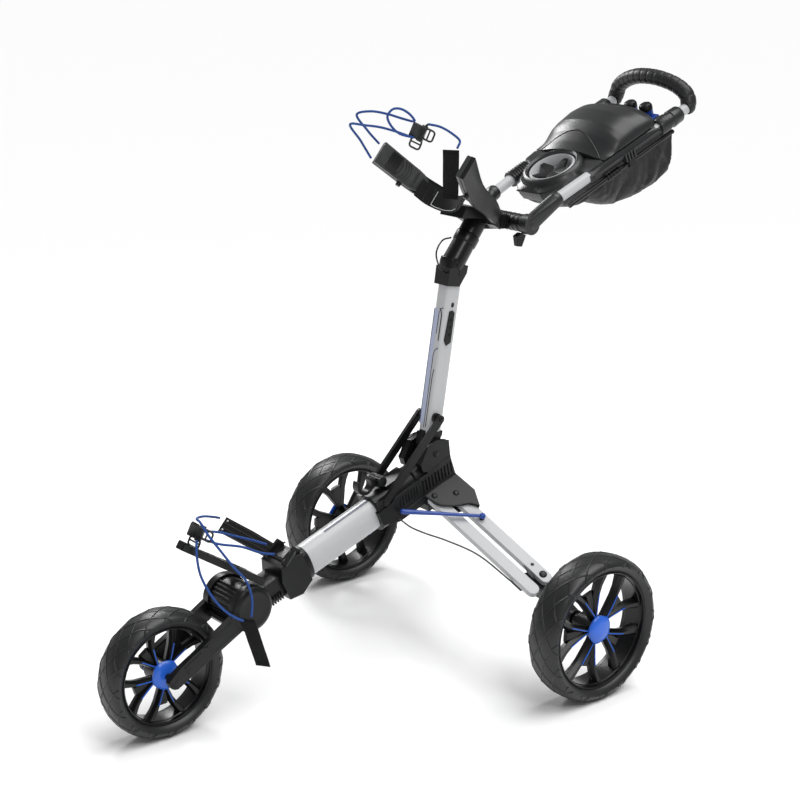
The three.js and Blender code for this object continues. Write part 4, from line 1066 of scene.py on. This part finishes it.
def make_tab(name, node, x, y, z, length, width, lean, body):
    rows = 16
    across, out = Vector((0.82, 0.57, 0)), Vector((-0.57, 0.82, 0))
    def middle(f):
        wave = 1.4 * sin(2.8 * f + 0.4) + 0.5 * sin(9 * f)
        return Vector((x, y + lean * length * f, z - length * f)) + out * wave
    rings = []
    for i in range(rows + 1):
        f = i / rows
        w = width / 2 * (1 - 0.05 * f)
        c = middle(f)
        rings.append([metres(c + across * a + out * t) for a, t in ((-w, 0), (w, 0), (w, 2.0), (-w, 2.0))])
    strap = piece(name, [loft(rings)], STRAP, body, 0.4, (node,))
    seam = []
    for f in (0.035, 0.07, 0.93):
        c, half = middle(f), across * (width / 2 - 2)
        seam.append(sweep([c - half - out * 0.2, c + half - out * 0.2], 0.5, 6))
    piece(name + "_seam", seam, STRAP, body, 0)


def make_hooks():
    make_hook("hook_upper_shown", (-10, -94, 985), "mast", "hook_upper")
    make_hook("hook_lower_shown", (-2, -590, 349), "chassis", "hook_lower")
    make_tab("tab_upper_shown", "tab_upper", 40, -62, 956, 88, 30, 0, "mast")
    make_tab("tab_lower_shown", "tab_lower", 68.5, -541, 199, 98, 28, 0.32, "chassis")


# ---------- handle ----------
def hand_x(s):
    return 79 + (s + 11) * 18 / 349


def make_handle():
    for tag, side in SIDES:
        eye = [metres((side * x, a, b)) for x in (58.4, 76) for a, b in disc(*BARREL, 19, 32)]
        arm = [metres((side * x, a, b)) for x in (59, 75) for a, b in disc(*BARREL, 14, 20)]
        end = -26 if side > 0 else -40
        arm += [HAND(side * (79 + 14.5 * c), end, 14.5 * s) for c, s in circle(16)]
        sock = turn(HAND.mm(side * 78.6, end - 1, 0), HAND.mm(side * 79.2, end + 12, 0),
                [(0, 14.5), (3, 15), (10, 14.6), (13, 13)], 40)
        parts = [hull(eye), hull(arm), sock]
        if side < 0:
            for i in range(8):
                s = 16 + 6 * i
                parts.append(turn(HAND.mm(side * 80.3, s, 0), HAND.mm(side * 80.8, s + 5, 0),
                        [(0, 15.5), (2, 16.4), (4.5, 15.5)], 40))
        parts += bolt((side * 76, *BARREL), (side, 0, 0), 8, 2.5, 3)
        piece(f"handle_fork_{tag}_shown", parts, SHELL, "handle", 0, (f"handle_fork_{tag}",))
        tube = rod(HAND.mm(side * hand_x(-38), -38, 0), HAND.mm(side * 97, 338, 0), 10.5, n=40)
        piece(f"handle_tube_{tag}_shown", [tube], WHITE, "handle", 0, (f"handle_tube_{tag}",))
    make_grip()
    make_console()
    lever = hull(WORLD.each(((40, 92, 784), (52, 92, 784), (40, 116, 784), (52, 116, 784), (42, 94, 765),
            (52, 94, 765), (42, 106, 763), (52, 106, 763), (40, 104, 789.5), (52, 104, 789.5))))
    piece("lever_shown", [lever], BLACK, "lever", 1.2, ("lock_lever",))


GRIP_LINE = [(97.1, 339.6, 0), (97.4, 345, 0.6), (94, 354, 12), (87, 357, 24), (65, 359, 38), (30, 357, 50),
        (8, 356.5, 52.5)]


def make_grip():
    half = [HAND.mm(x, s, m) for x, s, m in GRIP_LINE]
    other = [HAND.mm(-x, s, m) for x, s, m in reversed(GRIP_LINE)]
    line = spline(half + other, 1.5)

    def radius(f):
        near = min(f, 1 - f)
        turn_at = (f * 16) % 1
        wrap = -1.1 * exp(-((turn_at - 0.5) / 0.09) ** 2)
        return 15.5 + wrap - (2.0 * max(0, 0.02 - near) / 0.02)
    piece("grip_shown", [sweep(line, radius, 36)], GRIP, "handle", 0, ("grip",), 50)


PLAN = [(30, -14), (47, 0), (62, 20), (68, 45), (74, 58), (90, 70), (93, 104), (97, 160), (100, 215),
        (99, 248), (86, 262), (58, 270)]
RIDGE = [(107, 25.5), (122, 36), (142, 48), (170, 57), (205, 60), (235, 55), (256, 44), (266, 28),
        (270, 15)]
BRIM = [(-14, 1), (20, 3), (58, 5), (72, 12), (240, 13), (262, 9), (270, 8)]


def along(table, s, key=1, value=0):
    """Read a table of (value, place) or (place, value) pairs at a place, between its rows."""
    rows = [(row[key], row[value]) for row in table]
    if s <= rows[0][0]:
        return rows[0][1]
    for (s0, v0), (s1, v1) in zip(rows, rows[1:]):
        if s <= s1:
            f = (s - s0) / (s1 - s0)
            return v0 + (v1 - v0) * f
    return rows[-1][1]


def plan_half(s):
    return along(PLAN, s)


def lid_full(s):
    """How pointed the lid's cross-section is: sharp at its front edge, round further back."""
    return 0.92 + 2.2 * max(0.0, 1 - (s - 107) / 50) ** 1.5


def lid_height(x, s):
    half = plan_half(s) - 0.5
    low, top = along(BRIM, s, 0, 1) + 1.2, along(RIDGE, s, 0, 1)
    c = min(1.0, abs(x) / half) ** (1 / 0.88)
    return low + (top - low) * sqrt(1 - c * c) ** lid_full(s)


def make_console():
    rings = []
    count, across = 60, 48
    for i in range(count + 1):
        s = 107 + (269.5 - 107) * i / count
        half = plan_half(s) - 0.5
        low, top = along(BRIM, s, 0, 1) + 1.2, along(RIDGE, s, 0, 1)
        ring = []
        for j in range(across + 1):
            a = pi * j / across
            c, k = cos(a), sin(a)
            ring.append(HAND(half * copysign(abs(c) ** 0.88, c), s,
                    low + (top - low) * abs(k) ** lid_full(s)))
        ring += [HAND(-half + 4, s, low - 0.8), HAND(half - 4, s, low - 0.8)]
        rings.append(ring)
    crease = [(-78, 109), (-66, 118), (-40, 132), (-14, 142)]
    crease += [(-x, s) for x, s in reversed(crease)]
    crease = [HAND.mm(x, s, lid_height(x, s) - 0.4) for x, s in crease]
    lid = [loft(rings), sweep(spline(crease, 4), 1.5, 10)]
    piece("lid_shown", lid, SHELL, "lid", 0.8, ("console_lid",), 60)
    latch = hull(HAND.each(((-14, 262, 14), (14, 262, 14), (-9, 258, 43), (9, 258, 43), (-14, 274, 8),
            (14, 274, 8), (-9, 270, 36), (9, 270, 36))))
    # a dark sheet on the lid top: painted shade standing for the latch recess
    recess_shade = HAND.each(((-13, 256, 45.2), (13, 256, 45.2), (0, 236, 55.6)))
    recess_shade += HAND.each(((-13, 256, 42), (13, 256, 42), (0, 236, 52)))
    piece("latch_shown", [latch, hull(recess_shade)], BLACK, "lid", 0.8)
    make_tray()
    make_cup()
    make_clips()
    make_bag()


def cup_ring(n, radius, m, tilt=0.0):
    return [HAND(radius * c, CUP_S + radius * s, m + tilt * radius * s) for c, s in circle(n)]


def outline_ring(n, inset, m, top=106.6):
    """The plan outline seen from the cup's centre, cut off at the lid's front edge; m is above the brim."""
    ring = []
    for i in range(n):
        a = tau * i / n
        c, k = cos(a), sin(a)
        r = 20.0
        while r < 110:
            x, s = abs(r * c), CUP_S + r * k
            if s > top or s < -14 or x > plan_half(s):
                break
            r += 0.5
        s = CUP_S + (r - inset) * k
        ring.append(HAND((r - inset) * c, s, m + (along(BRIM, s, 0, 1) if m > -5 else 0)))
    return ring


def make_tray():
    n = 96
    rings = [outline_ring(n, 6, -20), outline_ring(n, 1, -7), outline_ring(n, 0, -1),
            outline_ring(n, 1.5, 1.5), cup_ring(n, 63, 10.5, 0.06), cup_ring(n, 60, 16.5, 0.06),
            cup_ring(n, 56, 20.5, 0.06), cup_ring(n, 52, 21.5, 0.06), cup_ring(n, 48.6, 19, 0.06),
            cup_ring(n, 46.8, 12, 0.05), cup_ring(n, 46.4, -22)]
    parts = [loft(rings, loop=True)]
    deck = []
    for s, inset in ((108, 26), (160, 24), (215, 24), (255, 24), (270, 4)):
        half = plan_half(s) - inset
        deck.append([HAND(x, s, m) for x, m in ((-half, 5.6), (half, 5.6), (half - 1, -14),
                (half - 10, -22), (-half + 10, -22), (-half + 1, -14))])
    parts.append(loft(deck))
    parts.append(box(-60, 70, 262, 302, -8, -0.3, HAND))
    for side in (1, -1):
        grip = turn(HAND.mm(side * 93, 258, 0), HAND.mm(side * 96, 320, 0),
                [(0, 15), (3, 17), (22, 17.4), (24, 15.8), (34, 15.8), (36, 17.4), (58, 16.4), (61, 14.5)],
                40)
        parts.append(grip)
        parts.append(hull([HAND(side * x, s, m) for x, s, m in ((66, 250, 5), (66, 250, -14), (66, 292, -8),
                (66, 292, 5), (92, 258, 15), (92, 258, -14), (95, 300, 15), (95, 300, -14))]))
        fairing = []
        for s in (61, 66, 100, 160, 215, 250, 272):
            e, w, tube = along(BRIM, max(s, 72), 0, 1), max(plan_half(s), hand_x(s) + 6), hand_x(s)
            close = 0.75 if s == 61 else 1
            section = ((56, 6), (w - 8, e - 1), (w - 1, e - 2), (tube + 12, 3), (tube + 12.5, -5),
                    (tube + 7, -11.5), (tube - 4, -13), (56, -13))
            fairing.append([HAND(side * x, s, m * close) for x, m in section])
        parts.append(loft(fairing))
        strip = [HAND.mm(side * (hand_x(s) + 12.6), s, -1) for s in (70, 120, 180, 250)]
        parts.append(sweep(strip, 1.6, 8))
        for s in (150, 158, 166, 174):
            parts.append(box(side * 98 - 6, side * 98 + 6, s, s + 4, -14, 1, HAND))
    piece("tray_shown", parts, SHELL, "handle", 0, ("console_tray",))


def make_cup():
    n = 72
    rings = [cup_ring(n, 46.2, 15, 0.05), cup_ring(n, 42.5, 18, 0.06), cup_ring(n, 41.0, 15, 0.05),
            cup_ring(n, 39.5, -20), cup_ring(n, 2, -20), cup_ring(n, 2, -23.5), cup_ring(n, 45.8, -23.5)]
    piece("cup_liner_shown", [loft(rings, loop=True)], LINER, "handle", 0.3, ("cup_liner",))
    fins = []
    for i in range(5):
        a = tau * i / 5 + 0.35
        def p(r, t, m):
            return HAND(r * cos(a + t), CUP_S + r * sin(a + t), m)
        fins.append(hull([p(40.8, -0.1, 12), p(40.8, 0.1, 12), p(40.8, -0.1, 8), p(40.8, 0.1, 8),
                p(21, -0.62, 7), p(21, 0.62, 7), p(21, -0.62, 0), p(21, 0.62, 0), p(0, 0, 0), p(0, 0, 7)]))
    piece("cup_fins", fins, BLACK, "handle", 0.5)


def make_clips():
    blue, caps = [box(-14, 62, 277, 300, 0, 5, HAND)], []
    for x, s in ((2, 290), (44, 288)):
        blue.append(turn(HAND.mm(x, s, 4), HAND.mm(x, s, 20), [(0, 11.5), (16, 12.5)], 32))
        caps.append(turn(HAND.mm(x, s, 19), HAND.mm(x, s, 34), [(0, 13), (8, 13.2), (12, 11), (14, 7)], 32))
    piece("clips_shown", blue, ROD_BLUE, "handle", 0.8, ("ball_clips",))
    piece("clip_caps", caps, BLACK, "handle", 0.8)


def settle(obj, pinned, frames=36):
    """Let the cloth sag and crease between its pinned points, then keep the shape it took."""
    group = obj.vertex_groups.new(name="sewn")
    group.add(pinned, 1.0, "REPLACE")
    cloth = obj.modifiers.new("cloth", "CLOTH")
    cloth.settings.quality = 6
    cloth.settings.mass = 0.12
    cloth.settings.vertex_group_mass = "sewn"
    cloth.settings.tension_stiffness = 14
    cloth.settings.compression_stiffness = 10
    cloth.settings.shear_stiffness = 6
    cloth.settings.bending_stiffness = 0.08
    cloth.settings.shrink_min = -0.09
    cloth.settings.use_pressure = True
    cloth.settings.uniform_pressure_force = 1.2
    cloth.collision_settings.use_collision = False
    cloth.point_cache.frame_start, cloth.point_cache.frame_end = 1, frames
    scene = bpy.context.scene
    scene.gravity = (0, 0, -9.81)
    for f in range(1, frames + 1):
        scene.frame_set(f)
    graph = bpy.context.evaluated_depsgraph_get()
    worn = bpy.data.meshes.new_from_object(obj.evaluated_get(graph))
    obj.modifiers.remove(cloth)
    obj.data = worn
    scene.frame_set(1)
    for polygon in worn.polygons:
        polygon.use_smooth = True


BAG_SIDE = [(2, -15), (8, -24), (24, -38), (56, -54), (80, -58), (94, -48), (108, -66), (124, -84),
        (165, -99), (215, -110), (268, -114), (298, -108), (311, -74), (306, -28)]


def make_bag():
    bottom = spline([(0, s, m) for s, m in BAG_SIDE], 5)
    rings = []
    total = len(bottom) - 1
    across = 44
    for i, p in enumerate(bottom):
        f = i / total
        half = 56 + 20 * min(1, f * 1.6) - 8 * exp(-((p.y - 95) / 9) ** 2)
        top = -24 if p.y > 12 else -12
        depth = top - p.z
        ring = []
        for j in range(across + 1):
            a = pi * j / across
            c, k = cos(a), sin(a)
            fold = 1 + 0.035 * sin(7 * a + 9 * f) * sin(5 * f + a) + 0.02 * sin(17 * f + 5 * a)
            x = half * copysign(abs(c) ** 0.5, c) * (1 - 0.10 * k * (1 - f)) * fold
            m = top - depth * abs(k) ** 0.6 * fold
            ring.append(HAND(max(-80, min(80, x)), p.y, m))
        rings.append(ring)
    bag = piece("bag_shown", [loft(rings)], CLOTH, "handle", 0, ("accessory_bag",), 60)
    ends = [v.index for v in bag.data.vertices if v.index % (across + 1) in (0, 1, across - 1, across)]
    ends += [v.index for v in bag.data.vertices
            if v.index < across + 1 or v.index >= len(bottom) * (across + 1) - across - 1]
    settle(bag, sorted(set(ends)))
    rail = [sweep(spline([HAND.mm(90, -4, -22), HAND.mm(94, 140, -22), HAND.mm(98, 290, -23)], 20), 4.2,
            20)]
    rail += [turn(HAND.mm(92.5, 100 + 8 * i, -22), HAND.mm(92.8, 105 + 8 * i, -22),
            [(0, 6), (2.5, 7), (5, 6)], 24) for i in range(5)]
    rail.append(box(87, 101, 158, 176, -29, -15, HAND))
    piece("rail_shown", rail, BLACK, "handle", 0.4, ("bag_rail",))


set_camera()
studio()
make_cords()
make_wheels()
make_front()
make_legs()
make_lower()
make_mast()
make_handle()
